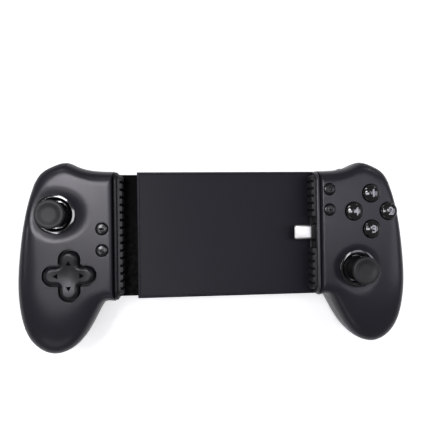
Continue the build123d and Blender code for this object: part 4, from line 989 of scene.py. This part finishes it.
def dish(spot, stick, side):
    """Depth of the dish round a stick: an even slope that fades out, furthest towards the bridge."""
    offset = Vector(spot[:2]) - stick
    out = offset.length
    edge = DISH_EDGE[side] + DISH_REACH[side] * max(0, -offset.x / max(out, 0.001)) ** 2
    if out >= edge:
        return 0
    share = max(0, (out - DISH_BEND) / (edge - DISH_BEND))
    # The slope falls off as (1 - share²)², and this is what is left of its sum up to the edge
    fading = (8 / 15 - share + share**3 * 2 / 3 - share**5 / 5) * (edge - DISH_BEND)
    return DISH_SLOPE * (fading + max(0, DISH_BEND - max(out, DISH_START)))


# %% Skin of a front shell
ROLL_STEPS, FACE_RINGS, SHELL_WALL = 20, 40, 2.0
GROOVE_DEPTH, GROOVE_LOW, GROOVE_HIGH, GROOVE_ROLL_STEP = 0.2, 0.25, 0.45, 2


def skin_rings(stick, side, inset, low):
    """Rings of points from the lowest edge up the side and over the face, drawn in by an inset."""
    line = [point + (FACE_MIDDLE - point).normalized() * inset for point in side_line]
    rings = [[(*spot, low) for spot in line]]
    first = 0
    if not inset:
        groove = [spot + (FACE_MIDDLE - spot).normalized() * GROOVE_DEPTH for spot in line]
        rings = [
            [(*spot, low) for spot in groove],
            [(*spot, PARTING + GROOVE_LOW) for spot in groove],
            [(*spot, PARTING + GROOVE_HIGH) for spot in line],
        ]
        first = GROOVE_ROLL_STEP
    for step in range(first, ROLL_STEPS + 1):
        angle = pi / 2 * step / ROLL_STEPS
        ring = []
        for side_point, top_point, power in zip(line, top_line, power_line):
            across = 1 - cos(angle) ** (2 / power) if step < ROLL_STEPS else 1
            up = sin(angle) ** (2 / power)
            spot = side_point.lerp(top_point, across)
            height = FACE - inset - PARTING - dish(spot, stick, side)
            ring.append((*spot, PARTING + up * height))
        rings.append(ring)
    for step in range(1, FACE_RINGS):
        spots = [top_point.lerp(FACE_MIDDLE, step / FACE_RINGS) for top_point in top_line]
        rings.append([(*spot, FACE - inset - dish(spot, stick, side)) for spot in spots])
    tip_level = FACE - inset - dish(FACE_MIDDLE, stick, side)
    return rings + [[(*FACE_MIDDLE, tip_level)]]


def skin_solid(name, stick, side, inset, low):
    """A closed solid under a skin."""
    work = bmesh.new()
    rings = skin_rings(stick, side, inset, low)
    rows = [[work.verts.new(Vector(spot) * MM) for spot in ring] for ring in rings]
    add_ring_faces(work, rows)
    work.faces.new(rows[0][::-1])
    return piece_from(name, work)


# %% [markdown]
# ## Holes
# Every control stands in a hole a little larger than itself, with a rim that is just rounded. The
# cutters take their places from the CAD's nodes, so they follow if a node moves. The notch in the
# far edge leaves room for the shoulder button.

# %% Cutters for the holes
CUT_LOW, CUT_HIGH, HOLE_POINTS, RIM_STEPS = 22.0, FACE + 6, 72, 4
HOLES = {"stick": (10.3, 0.1), "small": (3.4, 0.25), "face": (5.3, 0.3)}
CROSS_GAP, COLLAR_GAP = 1.0, 0.35
SHOULDER_NOTCH = [(83.45, 45.15), (100.95, 38.45), (100.95, 70), (83.45, 70)]
NOTCH_LOW, NOTCH_HIGH = 20, 36.55
COLLAR_CUT_X = (50, 62.6)


def add_prism(work, spots, low, high):
    """An upright prism over a closed run of points."""
    rows = [[work.verts.new((x * MM, y * MM, level * MM)) for x, y in spots] for level in (low, high)]
    add_ring_faces(work, rows)
    work.faces.new(rows[0][::-1])
    work.faces.new(rows[1])


def add_hole(work, place, kind):
    """A round cutter that flares at the face, so the hole gets a rounded rim."""
    radius, rim = HOLES[kind]
    profile = [(radius, CUT_LOW), (radius, FACE - rim)]
    for step in range(1, RIM_STEPS + 1):
        angle = pi / 2 * step / RIM_STEPS
        profile.append((radius + rim * (1 - cos(angle)), FACE - rim * (1 - sin(angle))))
    profile.append((radius + rim, CUT_HIGH))
    turns = [2 * pi * step / HOLE_POINTS for step in range(HOLE_POINTS)]
    rows = [
        [
            work.verts.new(((place[0] + out * cos(turn)) * MM, (place[1] + out * sin(turn)) * MM, level * MM))
            for turn in turns
        ]
        for out, level in profile
    ]
    add_ring_faces(work, rows)
    work.faces.new(rows[0][::-1])
    work.faces.new(rows[-1])


def right_handed(place):
    """A place on either grip, as it lies on the right grip."""
    return abs(place[0]), place[1]


def cutters_for(side):
    """All the cutters of one grip, drawn for the right hand."""
    work = bmesh.new()
    add_hole(work, right_handed(middle_of(side + "_stick_ring")), "stick")
    for word in ("upper", "lower"):
        add_hole(work, right_handed(middle_of(side + "_small_button_" + word)), "small")
    add_prism(work, SHOULDER_NOTCH, NOTCH_LOW, NOTCH_HIGH)
    if side == "right":
        for name in face_buttons:
            add_hole(work, middle_of(name), "face")
        low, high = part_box("usb_plug_collar")
        near_x, far_x = COLLAR_CUT_X
        near_y, far_y = low[1] / MM - COLLAR_GAP, high[1] / MM + COLLAR_GAP
        corners = [(near_x, near_y), (far_x, near_y), (far_x, far_y), (near_x, far_y)]
        add_prism(work, corners, low[2] / MM - COLLAR_GAP, high[2] / MM + COLLAR_GAP)
    else:
        x, y = right_handed(dpad_place)
        wider = [point + out * CROSS_GAP for point, out, _ in outline]
        add_prism(work, [(x + spot.x, y + spot.y) for spot in wider], CUT_LOW, CUT_HIGH)
    return piece_from(side + "_cutters", work)


# %% Build both front shells
SHARP_SHELL = 42


def front_shell(side):
    """The soft front shell of one grip, standing for the CAD's."""
    stick = Vector(right_handed(middle_of(side + "_stick_ring")))
    skin = skin_solid(side + "_skin", stick, side, 0, PARTING)
    inside = skin_solid(side + "_inside", stick, side, SHELL_WALL, PARTING - 1)
    cutters = cutters_for(side)
    for cutter in (inside, cutters):
        cut = skin.modifiers.new("cut", "BOOLEAN")
        cut.operation = "DIFFERENCE"
        cut.solver = "EXACT"
        cut.object = cutter
    mesh = bpy.data.meshes.new_from_object(skin.evaluated_get(bpy.context.evaluated_depsgraph_get()))
    mesh.name = side + "_soft_face"
    for helper in (skin, inside, cutters):
        bpy.data.objects.remove(helper)
    if side == "left":
        mesh.transform(Matrix.Scale(-1, 4, (1, 0, 0)))
        mesh.flip_normals()
    mesh.materials.clear()
    mesh.materials.append(finishes[slots[side + "_front_shell"]])
    for polygon in mesh.polygons:
        polygon.material_index = 0
    shade_smooth(mesh, SHARP_SHELL)
    piece = bpy.data.objects.new(side + "_soft_face", mesh)
    bpy.context.scene.collection.objects.link(piece)
    stand_for(piece, side + "_front_shell")
    return mesh


for side in ("left", "right"):
    work = bmesh.new()
    work.from_mesh(front_shell(side))
    open_edges = sum(1 for edge in work.edges if len(edge.link_faces) != 2)
    print(side, "face has", len(work.faces), "faces and", open_edges, "open edges")
    work.free()
